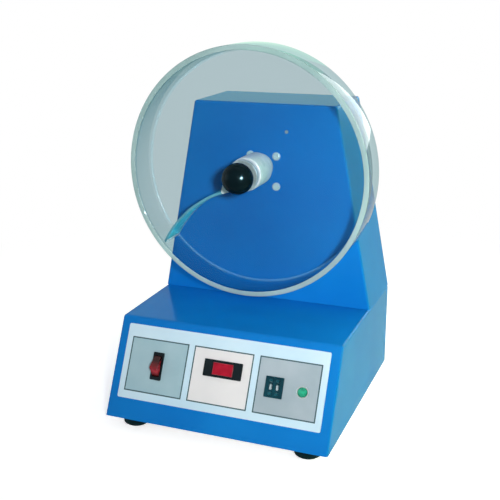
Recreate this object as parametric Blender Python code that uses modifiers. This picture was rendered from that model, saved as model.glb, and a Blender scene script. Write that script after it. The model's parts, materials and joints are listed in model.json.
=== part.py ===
# A tablet friability tester: a clear drum on a motor shaft, in front of a tower on a sloping-front base.
# The frame stands at the centre of the footprint, on the ground: +X to the right, +Y to the rear, +Z up.

import math

import bmesh
import bpy
from mathutils import Euler, Matrix, Vector

MM = 0.001

# Clearances, sheet metal and rounding that every piece shares
CLEARANCE = 0.3 * MM
OVERRUN = 5 * MM
SHEET = 1.5 * MM
FLANGE = 12 * MM
EDGE_RADIUS = 3 * MM
EDGE_STEPS = 3
CURVE_STEPS = 6

# Base
BASE_WIDTH = 280 * MM
BASE_DEPTH = 279 * MM
BASE_HEIGHT = 110 * MM
PANEL_RUN = 56 * MM
FOOT_HEIGHT = 15 * MM
FOOT_TOP_RADIUS = 17 * MM
FOOT_BOTTOM_RADIUS = 14.5 * MM
FOOT_RECESS_RADIUS = 5.5 * MM
FOOT_RECESS_DEPTH = 6 * MM
FOOT_BORE_RADIUS = 2.5 * MM
FOOT_SIDE_INSET = 30 * MM
FOOT_END_INSET = 25 * MM
FOOT_SEGMENTS = 28
WIRE_HOLE_WIDTH = 90 * MM
WIRE_HOLE_DEPTH = 40 * MM

# Tower
TOWER_DEPTH = 104 * MM
TOWER_TOP_WIDTH = 185 * MM
TOWER_ABOVE_AXIS = 76 * MM
VENT_LENGTH = 44 * MM
VENT_HEIGHT = 4 * MM
VENT_PITCH = 11 * MM
VENT_ROWS = 8
VENT_COLUMN_SPACING = 64 * MM
VENT_TOP_MARGIN = 36 * MM

# Drum
DRUM_BORE = 288 * MM
DRUM_WALL = 6 * MM
DRUM_DEPTH = 48 * MM
DRUM_BACK = 5 * MM
DRUM_RIM_CHAMFER = 1.5 * MM
DRUM_COVER = 4.5 * MM
DRUM_GAP = 18 * MM
DRUM_BASE_GAP = 24 * MM
DRUM_SEGMENTS = 96
VANE_RADIUS = 141.5 * MM
VANE_THICKNESS = 3 * MM
VANE_TIP_ANGLE = math.radians(-139.3)
VANE_ROOT_ANGLE = math.radians(-116.3)
VANE_STEPS = 16
VANE_BLOCK_TOP = 7 * MM
VANE_BLOCK_FOOT = 12 * MM
VANE_BLOCK_DROP = 4 * MM
VANE_BLOCK_ANGLE = math.radians(55)

# Hub, shaft, washer and knob
SHAFT_RADIUS = 6 * MM
STUD_RADIUS = 5 * MM
STUD_CHAMFER = 1 * MM
HUB_RADIUS = 20 * MM
HUB_CHAMFER = 1 * MM
HUB_SEGMENTS = 40
HUB_FLANGE_RADIUS = 16 * MM
HUB_FLANGE_THICKNESS = 8 * MM
HUB_BOSS_RADIUS = 11 * MM
BUSH_RADIUS = 10 * MM
BUSH_FLANGE_RADIUS = 12 * MM
BUSH_FLANGE_THICKNESS = 2.4 * MM
BUSH_LENGTH = 14 * MM
WASHER_RADIUS = 19 * MM
WASHER_THICKNESS = 5 * MM
WASHER_CHAMFER = 1.5 * MM
KNOB_RADIUS = 18.5 * MM
KNOB_FLAT_RADIUS = 12 * MM
KNOB_BORE_DEPTH = 11 * MM
KNOB_STEPS = 10

# Geared motor
GEARBOX_WIDTH = 52 * MM
GEARBOX_HEIGHT = 62 * MM
GEARBOX_DEPTH = 30 * MM
GEARBOX_CORNER = 5 * MM
GEARBOX_SHAFT_RISE = 7.4 * MM
GEARBOX_SHAFT_DEPTH = 24 * MM
SCREW_SPACING_X = 34 * MM
SCREW_SPACING_Z = 38 * MM
SCREW_HEAD_RADIUS = 5.2 * MM
SCREW_HEAD_HEIGHT = 2.6 * MM
SCREW_SHANK_RADIUS = 2.5 * MM
SCREW_GRIP = 10 * MM
SCREW_SEGMENTS = 16
MOTOR_RADIUS = 26 * MM
MOTOR_LENGTH = 46 * MM
MOTOR_END_RADIUS = 20 * MM
MOTOR_END_LENGTH = 4 * MM
MOTOR_BOSS_RADIUS = 8 * MM
MOTOR_BOSS_LENGTH = 3 * MM
MOTOR_DROP = 4 * MM

# Label plate on the sloping front
LABEL_THICKNESS = 1 * MM
LABEL_CORNER = 2 * MM
LABEL_SIDE_MARGIN = 12 * MM
LABEL_BOTTOM_MARGIN = 24.6 * MM
LABEL_TOP_MARGIN = 9 * MM
FIELD_GAP = 7.4 * MM
TITLE_STRIP = 15.1 * MM
CAPTION_STRIP = 9.2 * MM

# Mains rocker switch
SWITCH_WIDTH = 13.8 * MM
SWITCH_LENGTH = 33.2 * MM
SWITCH_BEZEL = 1.8 * MM
SWITCH_CORNER = 1.2 * MM
SWITCH_BODY_WIDTH = 11.6 * MM
SWITCH_BODY_LENGTH = 28 * MM
SWITCH_BODY_DEPTH = 18 * MM
SWITCH_WALL = 1.2 * MM
SWITCH_SIDE_OFFSET = 1.2 * MM
SWITCH_RISE = 1.2 * MM
SWITCH_POCKET_DEPTH = 14 * MM
ROCKER_PIVOT_DEPTH = 2.6 * MM
ROCKER_SWING = math.radians(20)
ROCKER_TOP_ANGLE = math.radians(12)
ROCKER_SIDE_ANGLE = math.radians(25)
ROCKER_RIDGE = 13.5 * MM
ROCKER_RIDGE_RADIUS = 2 * MM
ROCKER_KEEL = 7 * MM
ROCKER_PIN_RADIUS = 1.2 * MM
ROCKER_PIN_LENGTH = 0.8 * MM
BLADE_WIDTH = 4.8 * MM
BLADE_THICKNESS = 0.8 * MM
BLADE_LENGTH = 8 * MM

# Timer display
DISPLAY_WIDTH = 47.8 * MM
DISPLAY_HEIGHT = 20.2 * MM
DISPLAY_BEZEL = 2.2 * MM
DISPLAY_CORNER = 1 * MM
DISPLAY_BODY_MARGIN = 2 * MM
DISPLAY_BODY_DEPTH = 12 * MM
DISPLAY_WALL = 1.5 * MM
DISPLAY_RISE = 9.6 * MM
DISPLAY_SIDE_OFFSET = 2.3 * MM
WINDOW_WIDTH = 26.4 * MM
WINDOW_HEIGHT = 15.4 * MM
WINDOW_THICKNESS = 1.6 * MM
WINDOW_LEDGE = 1 * MM
MODULE_DEPTH = 7 * MM

# Set-time switch with two digits
SETTER_WIDTH = 21.6 * MM
SETTER_HEIGHT = 24.2 * MM
SETTER_BEZEL = 1.5 * MM
SETTER_CORNER = 0.8 * MM
SETTER_BODY_MARGIN = 0.8 * MM
SETTER_BODY_DEPTH = 18 * MM
SETTER_FRONT_WALL = 1.5 * MM
SETTER_SIDE_OFFSET = 15.6 * MM
SETTER_DROP = 0.8 * MM
DIGIT_PITCH = 8 * MM
DIGIT_WEB = 1.1 * MM
DIGIT_WINDOW_WIDTH = 4.2 * MM
DIGIT_WINDOW_HEIGHT = 7 * MM
WHEEL_RADIUS = 6.5 * MM
WHEEL_GAP = 0.6 * MM
AXLE_RADIUS = 1 * MM
AXLE_SEAT = 0.8 * MM
BUTTON_WIDTH = 4 * MM
BUTTON_HEIGHT = 3.4 * MM
BUTTON_OFFSET = 7.6 * MM
BUTTON_STAND = 1.4 * MM
BUTTON_FOOT = 1 * MM
BUTTON_FOOT_OVERHANG = 0.8 * MM

# Indicator lamp
LAMP_RADIUS = 7.5 * MM
LAMP_BEZEL = 1.8 * MM
LAMP_LENS_RADIUS = 5.6 * MM
LAMP_LENS_SEAT = 1 * MM
LAMP_DOME = 3 * MM
LAMP_BARREL_RADIUS = 6.2 * MM
LAMP_BARREL_LENGTH = 10 * MM
LAMP_STEM_RADIUS = 3.6 * MM
LAMP_SIDE_OFFSET = 18.8 * MM
LAMP_DROP = 1.2 * MM
LAMP_SEGMENTS = 28

# Mains inlet and fuse in the rear of the base
REAR_DEVICE_HEIGHT = 55 * MM
INLET_SIDE_INSET = 78 * MM
INLET_WIDTH = 31 * MM
INLET_HEIGHT = 24 * MM
INLET_FLANGE = 2 * MM
INLET_CORNER = 2 * MM
INLET_BODY_WIDTH = 27 * MM
INLET_BODY_HEIGHT = 19.6 * MM
INLET_BODY_DEPTH = 17.5 * MM
INLET_WALL = 1.4 * MM
INLET_CAVITY_DEPTH = 15.5 * MM
PIN_SPACING = 14 * MM
PIN_THICKNESS = 2 * MM
PIN_HEIGHT = 4 * MM
PIN_DROP = 2 * MM
PIN_LENGTH = 13 * MM
PIN_TAIL = 8 * MM
FUSE_SIDE_INSET = 38 * MM
FUSE_FLANGE_RADIUS = 8 * MM
FUSE_FLANGE = 2 * MM
FUSE_BODY_RADIUS = 6.5 * MM
FUSE_BODY_DEPTH = 34 * MM
FUSE_BORE_RADIUS = 4.6 * MM
FUSE_CAP_RADIUS = 6.6 * MM
FUSE_CAP_STAND = 8 * MM
FUSE_CAP_PLUG = 12 * MM
FUSE_SLOT_WIDTH = 1.4 * MM
FUSE_SLOT_DEPTH = 1.5 * MM
FUSE_SEGMENTS = 28

# Inside the base
TRANSFORMER_X_SHARE = -0.30
TRANSFORMER_Y_SHARE = 0.76
CORE_WIDTH = 50 * MM
CORE_HEIGHT = 42 * MM
CORE_STACK = 20 * MM
CORE_LEG = 14 * MM
CORE_WINDOW_WIDTH = 8 * MM
CORE_WINDOW_HEIGHT = 26 * MM
CORE_FOOT_LENGTH = 64 * MM
CORE_FOOT_THICKNESS = 2 * MM
COIL_THICKNESS = 7 * MM
BOARD_WIDTH = 120 * MM
BOARD_DEPTH = 72 * MM
BOARD_THICKNESS = 1.6 * MM
BOARD_X_SHARE = 0.14
BOARD_Y_SHARE = 0.42
PILLAR_RADIUS = 3.5 * MM
PILLAR_HEIGHT = 8 * MM
PILLAR_INSET = 6 * MM
RELAY_SIZE = (19 * MM, 15 * MM, 15 * MM)
TERMINAL_SIZE = (40 * MM, 10 * MM, 12 * MM)
CAPACITOR_RADIUS = 6 * MM
CAPACITOR_HEIGHT = 16 * MM
BOARD_PART_INSET = 14 * MM

# Worked out from the values above
FULL_TURN = 2 * math.pi
BASE_TOP = FOOT_HEIGHT + BASE_HEIGHT
SLOPE_LENGTH = math.hypot(PANEL_RUN, BASE_HEIGHT)
TOWER_FRONT = BASE_DEPTH - TOWER_DEPTH
DRUM_RADIUS = DRUM_BORE / 2 + DRUM_WALL
AXIS_HEIGHT = BASE_TOP + DRUM_BASE_GAP + DRUM_RADIUS
TOWER_BOTTOM = BASE_TOP + CLEARANCE
TOWER_TOP = AXIS_HEIGHT + TOWER_ABOVE_AXIS
GEARBOX_CENTRE = AXIS_HEIGHT - GEARBOX_SHAFT_RISE
LABEL_WIDTH = BASE_WIDTH - 2 * LABEL_SIDE_MARGIN
LABEL_HEIGHT = SLOPE_LENGTH - LABEL_BOTTOM_MARGIN - LABEL_TOP_MARGIN
FIELD_WIDTH = (LABEL_WIDTH - 4 * FIELD_GAP) / 3
FIELD_PITCH = FIELD_WIDTH + FIELD_GAP
FIELD_MIDDLE = LABEL_BOTTOM_MARGIN + (LABEL_HEIGHT - TITLE_STRIP + CAPTION_STRIP) / 2
DEVICE_SEAT = LABEL_THICKNESS + 2 * CLEARANCE
DRUM_FRONT = DRUM_GAP + DRUM_DEPTH
COVER_BACK = DRUM_FRONT - DRUM_COVER
WASHER_BACK = DRUM_FRONT + CLEARANCE
KNOB_BACK = WASHER_BACK + WASHER_THICKNESS + CLEARANCE
FRAME_CENTRE_Y = (BASE_DEPTH + FUSE_FLANGE + FUSE_CAP_STAND + 2 * CLEARANCE) / 2

FINISHES = {
    # name: colour, roughness, metallic
    "blue_paint": ((0.02, 0.16, 0.48), 0.35, 0.0),
    "label_film": ((0.50, 0.68, 0.82), 0.40, 0.0),
    "black_plastic": ((0.015, 0.016, 0.018), 0.35, 0.0),
    "gloss_black": ((0.006, 0.006, 0.007), 0.06, 0.0),
    "red_plastic": ((0.55, 0.02, 0.03), 0.30, 0.0),
    "white_plastic": ((0.80, 0.82, 0.80), 0.40, 0.0),
    "green_lens": ((0.05, 0.45, 0.12), 0.12, 0.0),
    "clear_acrylic": ((0.86, 0.93, 0.92), 0.05, 0.0),
    "satin_aluminium": ((0.62, 0.65, 0.66), 0.32, 1.0),
    "steel": ((0.60, 0.61, 0.63), 0.28, 1.0),
    "bronze": ((0.55, 0.38, 0.18), 0.35, 1.0),
    "black_rubber": ((0.012, 0.018, 0.015), 0.75, 0.0),
    "zinc_plate": ((0.55, 0.56, 0.55), 0.42, 1.0),
    "circuit_board": ((0.02, 0.20, 0.08), 0.45, 0.0),
    "copper_winding": ((0.50, 0.20, 0.08), 0.40, 1.0),
    "core_iron": ((0.18, 0.18, 0.19), 0.55, 1.0),
}


def start_scene():
    for obj in list(bpy.data.objects):
        bpy.data.objects.remove(obj, do_unlink=True)
    parts = bpy.data.collections.new("tablet_friability_tester")
    cutters = bpy.data.collections.new("cutters")
    for collection in (parts, cutters):
        bpy.context.scene.collection.children.link(collection)
    return parts, cutters


def finish_material(name):
    material = bpy.data.materials.get(name)
    if material is None:
        colour, roughness, metallic = FINISHES[name]
        material = bpy.data.materials.new(name)
        material.use_nodes = True
        shader = material.node_tree.nodes["Principled BSDF"]
        shader.inputs["Base Color"].default_value = (*colour, 1)
        shader.inputs["Roughness"].default_value = roughness
        shader.inputs["Metallic"].default_value = metallic
        material.diffuse_color = (*colour, 1)
    return material


def add_frame(name, location, rotation, parent):
    """An empty that pieces are placed by."""
    empty = bpy.data.objects.new(name, None)
    PARTS.objects.link(empty)
    empty.parent = parent
    empty.location = location
    empty.rotation_euler = rotation
    return empty


def add_piece(name, mesh, frame, finish, location=(0, 0, 0), rotation=(0, 0, 0)):
    piece = bpy.data.objects.new(name, mesh)
    PARTS.objects.link(piece)
    piece.parent = frame
    piece.location = location
    piece.rotation_euler = rotation
    mesh.materials.append(finish_material(finish))
    return piece


def add_tool(name, mesh, frame, location=(0, 0, 0), rotation=(0, 0, 0)):
    """A cutter or a shape to be joined: it is left out of the model."""
    tool = bpy.data.objects.new(name, mesh)
    CUTTERS.objects.link(tool)
    tool.parent = frame
    tool.location = location
    tool.rotation_euler = rotation
    tool.hide_render = True
    tool.display_type = "WIRE"
    return tool


def combine(piece, tools, operation="DIFFERENCE"):
    for tool in tools:
        modifier = piece.modifiers.new(tool.name, "BOOLEAN")
        modifier.operation = operation
        modifier.object = tool


def shade(mesh, angle=math.radians(35)):
    mesh.shade_smooth()
    mesh.set_sharp_from_angle(angle=angle)


def mesh_from(form, name):
    mesh = bpy.data.meshes.new(name)
    form.to_mesh(mesh)
    form.free()
    return mesh


def block(name, size, centre=(0, 0, 0)):
    form = bmesh.new()
    bmesh.ops.create_cube(form, size=1)
    bmesh.ops.scale(form, vec=size, verts=form.verts)
    bmesh.ops.translate(form, vec=centre, verts=form.verts)
    return mesh_from(form, name)


def rounded_plate(name, width, height, low, high, radius, centre=(0, 0)):
    """A flat block from low to high along Z, with its four upright edges rounded."""
    form = bmesh.new()
    bmesh.ops.create_cube(form, size=1)
    bmesh.ops.scale(form, vec=(width, height, high - low), verts=form.verts)
    upright = [e for e in form.edges if abs(e.verts[0].co.z - e.verts[1].co.z) > radius * 0.01]
    bmesh.ops.bevel(form, geom=upright, offset=radius, segments=EDGE_STEPS, profile=0.5, affect="EDGES")
    bmesh.ops.translate(form, vec=(centre[0], centre[1], (low + high) / 2), verts=form.verts)
    mesh = mesh_from(form, name)
    shade(mesh)
    return mesh


def rod(name, radius, low, high, segments, centre=(0, 0)):
    """A cylinder along Z."""
    form = bmesh.new()
    bmesh.ops.create_cone(
        form, cap_ends=True, segments=segments, radius1=radius, radius2=radius, depth=high - low
    )
    bmesh.ops.translate(form, vec=(centre[0], centre[1], (low + high) / 2), verts=form.verts)
    mesh = mesh_from(form, name)
    shade(mesh)
    return mesh


def turned(name, profile, segments, frame, finish, location=(0, 0, 0)):
    """A profile of (radius, height) points, turned about Z: down the outer side, and up a bore if it has one."""
    on_axis = profile[0][0] == 0 and profile[-1][0] == 0
    count = len(profile)
    edges = [(i, i + 1) for i in range(count - 1)] + ([] if on_axis else [(count - 1, 0)])
    mesh = bpy.data.meshes.new(name)
    mesh.from_pydata([(radius, 0, height) for radius, height in profile], edges, [])
    piece = add_piece(name, mesh, frame, finish, location)
    screw = piece.modifiers.new("turn", "SCREW")
    screw.axis = "Z"
    screw.steps = screw.render_steps = segments
    screw.use_merge_vertices = True
    screw.merge_threshold = 0.01 * MM
    screw.use_smooth_shade = True
    return piece


def outline_mesh(name, points, low, high):
    """A flat outline in XY, made a solid from low to high along Z."""
    curve = bpy.data.curves.new(name, "CURVE")
    curve.dimensions = "2D"
    curve.fill_mode = "BOTH"
    curve.extrude = (high - low) / 2
    spline = curve.splines.new("POLY")
    spline.points.add(len(points) - 1)
    spline.use_cyclic_u = True
    for point, (x, y) in zip(spline.points, points):
        point.co = (x, y, 0, 1)
    flat = bpy.data.objects.new(name, curve)
    CUTTERS.objects.link(flat)
    graph = bpy.context.evaluated_depsgraph_get()
    mesh = bpy.data.meshes.new_from_object(flat.evaluated_get(graph))
    bpy.data.objects.remove(flat)
    form = bmesh.new()
    form.from_mesh(mesh)
    bmesh.ops.remove_doubles(form, verts=form.verts, dist=0.001 * MM)
    bmesh.ops.dissolve_limit(form, angle_limit=math.radians(1), verts=form.verts, edges=form.edges)
    bmesh.ops.translate(form, vec=(0, 0, (low + high) / 2), verts=form.verts)
    bmesh.ops.recalc_face_normals(form, faces=form.faces)
    form.to_mesh(mesh)
    form.free()
    return mesh


def round_edges(mesh, radius, chosen):
    form = bmesh.new()
    form.from_mesh(mesh)
    edges = [e for e in form.edges if chosen(e.verts[0].co, e.verts[1].co)]
    bmesh.ops.bevel(form, geom=edges, offset=radius, segments=EDGE_STEPS, profile=0.5, affect="EDGES")
    form.to_mesh(mesh)
    form.free()
    shade(mesh)


def arc(centre, radius, start, end, steps):
    """Points along an arc, from one angle to another."""
    return [
        (
            centre[0] + radius * math.cos(start + (end - start) * i / steps),
            centre[1] + radius * math.sin(start + (end - start) * i / steps),
        )
        for i in range(steps + 1)
    ]


# Base housing, its plate and feet


def slope_line(inset, height):
    """How far back the sloping front lies at a height, moved inwards by an inset square to itself."""
    return (height - FOOT_HEIGHT) * PANEL_RUN / BASE_HEIGHT + inset * SLOPE_LENGTH / BASE_HEIGHT


def base_outline(inset, low):
    top = BASE_TOP - inset
    return [
        (slope_line(inset, low), low),
        (BASE_DEPTH - inset, low),
        (BASE_DEPTH - inset, top),
        (slope_line(inset, top), top),
    ]


def base_prism(name, inset, low, high=None):
    half = BASE_WIDTH / 2 - inset
    outline = base_outline(inset, low)
    if high is not None:
        outline[2] = (BASE_DEPTH - inset, high)
        outline[3] = (slope_line(inset, high), high)
    return outline_mesh(name, outline, -half, half)


def make_base(side_view, front_view, panel, rear_view):
    shell = base_prism("base_housing", 0, FOOT_HEIGHT)
    rim = FOOT_HEIGHT + SHEET / 2
    round_edges(shell, EDGE_RADIUS, lambda a, b: a.y > rim or b.y > rim)
    housing = add_piece("base_housing", shell, side_view, "blue_paint")
    ledge = FOOT_HEIGHT + SHEET + CLEARANCE
    below = FOOT_HEIGHT - OVERRUN
    tools = [
        add_tool("base_cavity", base_prism("base_cavity", SHEET, ledge + SHEET), side_view),
        add_tool("base_seat", base_prism("base_seat", SHEET, below, ledge), side_view),
        add_tool(
            "base_window",
            base_prism("base_window", SHEET + FLANGE, below, ledge + SHEET + OVERRUN),
            side_view,
        ),
        add_tool(
            "wire_hole",
            block(
                "wire_hole",
                (WIRE_HOLE_WIDTH, SHEET + 2 * OVERRUN, WIRE_HOLE_DEPTH),
                (0, BASE_TOP, -TOWER_DEPTH / 2),
            ),
            front_view,
        ),
    ]
    tools += panel_holes(panel) + rear_holes(rear_view)
    combine(housing, tools)
    return housing


def plan_to_board(x_share, y_share):
    return x_share * BASE_WIDTH, y_share * BASE_DEPTH


def board_corners(inset):
    x, y = plan_to_board(BOARD_X_SHARE, BOARD_Y_SHARE)
    return [
        (x + sx * (BOARD_WIDTH / 2 - inset), y + sy * (BOARD_DEPTH / 2 - inset))
        for sx in (-1, 1)
        for sy in (-1, 1)
    ]


def make_base_plate(ground):
    front = slope_line(SHEET + CLEARANCE, FOOT_HEIGHT + SHEET)
    back = BASE_DEPTH - SHEET - CLEARANCE
    width = BASE_WIDTH - 2 * (SHEET + CLEARANCE)
    size = (width, back - front, SHEET)
    mesh = block("base_plate", size, (0, (front + back) / 2, FOOT_HEIGHT + SHEET / 2))
    plate = add_piece("base_plate", mesh, ground, "zinc_plate")
    low = FOOT_HEIGHT + SHEET / 2
    high = FOOT_HEIGHT + SHEET + PILLAR_HEIGHT
    pillars = [
        add_tool(f"pillar_{i}", rod(f"pillar_{i}", PILLAR_RADIUS, low, high, SCREW_SEGMENTS, place), ground)
        for i, place in enumerate(board_corners(PILLAR_INSET))
    ]
    combine(plate, pillars, "UNION")


def foot_places():
    x = BASE_WIDTH / 2 - FOOT_SIDE_INSET
    rear = BASE_DEPTH - FOOT_END_INSET
    return {
        "foot_front_left": (-x, FOOT_END_INSET),
        "foot_front_right": (x, FOOT_END_INSET),
        "foot_rear_left": (-x, rear),
        "foot_rear_right": (x, rear),
    }


def make_feet(ground):
    top = FOOT_HEIGHT - CLEARANCE
    profile = [
        (FOOT_TOP_RADIUS, top),
        (FOOT_BOTTOM_RADIUS, 0),
        (FOOT_RECESS_RADIUS, 0),
        (FOOT_RECESS_RADIUS, FOOT_RECESS_DEPTH),
        (FOOT_BORE_RADIUS, FOOT_RECESS_DEPTH),
        (FOOT_BORE_RADIUS, top),
    ]
    for name, (x, y) in foot_places().items():
        turned(name, profile, FOOT_SEGMENTS, ground, "black_rubber", (x, y, 0))


# Tower housing and its rear cover


def tower_outline(inset, low):
    """The tower's front outline, moved inwards by an inset, from a height up."""
    rise = TOWER_TOP - TOWER_BOTTOM
    lean = (BASE_WIDTH - TOWER_TOP_WIDTH) / 2
    sideways = inset * math.hypot(rise, lean) / rise
    top = TOWER_TOP - inset

    def half(height):
        return BASE_WIDTH / 2 - lean * (height - TOWER_BOTTOM) / rise - sideways

    return [(-half(low), low), (half(low), low), (half(top), top), (-half(top), top)]


def make_tower(front_view, drum_axis, gearbox_frame):
    shell = outline_mesh("tower_housing", tower_outline(0, TOWER_BOTTOM), -TOWER_DEPTH, 0)
    rim = TOWER_BOTTOM + SHEET / 2
    round_edges(shell, EDGE_RADIUS, lambda a, b: a.y > rim or b.y > rim)
    housing = add_piece("tower_housing", shell, front_view, "blue_paint")
    floor = TOWER_BOTTOM + SHEET
    seat = -(TOWER_DEPTH - SHEET - CLEARANCE)
    back = seat + SHEET
    behind = -(TOWER_DEPTH + OVERRUN)
    opening = TOWER_BOTTOM + SHEET + FLANGE
    half_floor = BASE_WIDTH / 2 - 2 * (SHEET + FLANGE)
    floor_front = -(SHEET + FLANGE)
    floor_back = back + FLANGE
    shapes = {
        "tower_cavity": outline_mesh("tower_cavity", tower_outline(SHEET, floor), back, -SHEET),
        "tower_seat": outline_mesh("tower_seat", tower_outline(SHEET, floor), behind, seat),
        "tower_window": outline_mesh(
            "tower_window", tower_outline(SHEET + FLANGE, opening), behind, back + OVERRUN
        ),
        "tower_floor": block(
            "tower_floor",
            (2 * half_floor, SHEET + 2 * OVERRUN, floor_front - floor_back),
            (0, TOWER_BOTTOM, (floor_front + floor_back) / 2),
        ),
    }
    tools = [add_tool(name, mesh, front_view) for name, mesh in shapes.items()]
    through = SHEET + OVERRUN
    bush_hole = rod("bush_hole", BUSH_RADIUS, -through, through, HUB_SEGMENTS)
    tools.append(add_tool("bush_hole", bush_hole, drum_axis))
    for i, place in enumerate(screw_places()):
        name = f"face_hole_{i}"
        hole = rod(name, SCREW_SHANK_RADIUS + CLEARANCE, -through, through, SCREW_SEGMENTS, place)
        tools.append(add_tool(name, hole, gearbox_frame))
    combine(housing, tools)


def make_rear_cover(front_view):
    low = TOWER_BOTTOM + SHEET + CLEARANCE
    outline = tower_outline(SHEET + CLEARANCE, low)
    mesh = outline_mesh("rear_cover", outline, -TOWER_DEPTH, -(TOWER_DEPTH - SHEET))
    cover = add_piece("rear_cover", mesh, front_view, "blue_paint")
    slots = []
    for row in range(VENT_ROWS):
        height = TOWER_TOP - VENT_TOP_MARGIN - row * VENT_PITCH
        for side in (-1, 1):
            name = f"vent_{row}_{side + 1}"
            size = (VENT_LENGTH, VENT_HEIGHT, SHEET + 2 * OVERRUN)
            slot = block(name, size, (side * VENT_COLUMN_SPACING / 2, height, -TOWER_DEPTH))
            slots.append(add_tool(name, slot, front_view))
    combine(cover, slots)


# Drum, vane and cover


def make_drum(drum_axis):
    bore = SHAFT_RADIUS + CLEARANCE
    inner = DRUM_BORE / 2
    profile = [
        (DRUM_RADIUS, DRUM_DEPTH),
        (DRUM_RADIUS, DRUM_RIM_CHAMFER),
        (DRUM_RADIUS - DRUM_RIM_CHAMFER, 0),
        (bore, 0),
        (bore, DRUM_BACK),
        (inner, DRUM_BACK),
        (inner, DRUM_DEPTH),
    ]
    turned("drum_body", profile, DRUM_SEGMENTS, drum_axis, "clear_acrylic", (0, 0, DRUM_GAP))


def vane_arc_centre():
    """The centre of the vane's arc: below it, so that it is hollow on its lower side."""
    hub = HUB_RADIUS + CLEARANCE + VANE_THICKNESS / 4
    tip = DRUM_BORE / 2
    root = Vector((hub * math.cos(VANE_ROOT_ANGLE), hub * math.sin(VANE_ROOT_ANGLE)))
    end = Vector((tip * math.cos(VANE_TIP_ANGLE), tip * math.sin(VANE_TIP_ANGLE)))
    chord = end - root
    away = Vector((-chord.y, chord.x)).normalized()
    return (root + end) / 2 + away * math.sqrt(VANE_RADIUS**2 - (chord.length / 2) ** 2)


def make_vane(drum_axis):
    centre = vane_arc_centre()
    low = DRUM_GAP + DRUM_BACK + CLEARANCE
    high = COVER_BACK - CLEARANCE
    nearest = math.atan2(-centre.y, -centre.x)
    tip = Vector((math.cos(VANE_TIP_ANGLE), math.sin(VANE_TIP_ANGLE))) * (DRUM_BORE / 2 + OVERRUN)
    end = math.atan2(tip.y - centre.y, tip.x - centre.x)
    start = nearest + VANE_THICKNESS / VANE_RADIUS
    outer = VANE_RADIUS + VANE_THICKNESS / 2
    inner = VANE_RADIUS - VANE_THICKNESS / 2
    outline = arc(centre, outer, start, end, VANE_STEPS) + arc(centre, inner, end, start, VANE_STEPS)
    vane = add_piece("drum_vane", outline_mesh("drum_vane", outline, low, high), drum_axis, "clear_acrylic")
    foot_x = -(HUB_RADIUS + VANE_BLOCK_FOOT)
    foot_y = centre.y + math.sqrt(VANE_RADIUS**2 - (foot_x - centre.x) ** 2)
    corners = [
        (-HUB_RADIUS / 2, -VANE_BLOCK_DROP),
        (-(HUB_RADIUS + VANE_BLOCK_TOP), -VANE_BLOCK_DROP),
        (foot_x, foot_y),
        (-HUB_RADIUS / 2, -HUB_RADIUS * math.sin(VANE_BLOCK_ANGLE)),
    ]
    root_block = add_tool("vane_block", outline_mesh("vane_block", corners, low, high), drum_axis)
    hub = HUB_RADIUS + CLEARANCE
    room = rod("vane_hub", hub, low - OVERRUN, high + OVERRUN, HUB_SEGMENTS)
    limit = rod("vane_limit", DRUM_BORE / 2 - CLEARANCE, low - OVERRUN, high + OVERRUN, DRUM_SEGMENTS)
    combine(vane, [root_block], "UNION")
    combine(vane, [add_tool("vane_limit", limit, drum_axis)], "INTERSECT")
    combine(vane, [add_tool("vane_hub", room, drum_axis)])


def make_cover(drum_axis):
    outer = DRUM_BORE / 2 - CLEARANCE
    bore = STUD_RADIUS + CLEARANCE
    profile = [(outer, DRUM_COVER), (outer, 0), (bore, 0), (bore, DRUM_COVER)]
    turned("drum_cover", profile, DRUM_SEGMENTS, drum_axis, "clear_acrylic", (0, 0, COVER_BACK))


# Hub, shaft, washer and knob


def ring_profile(outer, bore, low, high, chamfer):
    """A ring with both outer edges chamfered."""
    return [
        (outer - chamfer, high),
        (outer, high - chamfer),
        (outer, low + chamfer),
        (outer - chamfer, low),
        (bore, low),
        (bore, high),
    ]


def make_hub(drum_axis):
    bore = SHAFT_RADIUS + CLEARANCE
    low = DRUM_GAP + DRUM_BACK + CLEARANCE
    high = COVER_BACK - CLEARANCE
    sleeve = ring_profile(HUB_RADIUS, bore, low, high, HUB_CHAMFER)
    turned("hub_sleeve", sleeve, HUB_SEGMENTS, drum_axis, "satin_aluminium")
    face = DRUM_GAP - CLEARANCE
    step = face - HUB_FLANGE_THICKNESS
    rear = BUSH_FLANGE_THICKNESS + 2 * CLEARANCE
    flange = [
        (HUB_FLANGE_RADIUS - HUB_CHAMFER, face),
        (HUB_FLANGE_RADIUS, face - HUB_CHAMFER),
        (HUB_FLANGE_RADIUS, step),
        (HUB_BOSS_RADIUS, step),
        (HUB_BOSS_RADIUS, rear),
        (bore, rear),
        (bore, face),
    ]
    turned("hub_flange", flange, HUB_SEGMENTS, drum_axis, "satin_aluminium")


def make_shaft(drum_axis):
    shoulder = COVER_BACK - CLEARANCE
    tip = KNOB_BACK + KNOB_BORE_DEPTH - 2 * CLEARANCE
    rear = -(SHEET + CLEARANCE + GEARBOX_SHAFT_DEPTH) + CLEARANCE
    profile = [
        (0, tip),
        (STUD_RADIUS - STUD_CHAMFER, tip),
        (STUD_RADIUS, tip - STUD_CHAMFER),
        (STUD_RADIUS, shoulder),
        (SHAFT_RADIUS, shoulder),
        (SHAFT_RADIUS, rear),
        (0, rear),
    ]
    turned("drive_shaft", profile, HUB_SEGMENTS // 2, drum_axis, "steel")
    bore = SHAFT_RADIUS + CLEARANCE
    body = BUSH_RADIUS - CLEARANCE
    front = BUSH_FLANGE_THICKNESS + CLEARANCE
    bush = [
        (BUSH_FLANGE_RADIUS, front),
        (BUSH_FLANGE_RADIUS, CLEARANCE),
        (body, CLEARANCE),
        (body, -BUSH_LENGTH),
        (bore, -BUSH_LENGTH),
        (bore, front),
    ]
    turned("shaft_bush", bush, HUB_SEGMENTS, drum_axis, "bronze")


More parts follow.
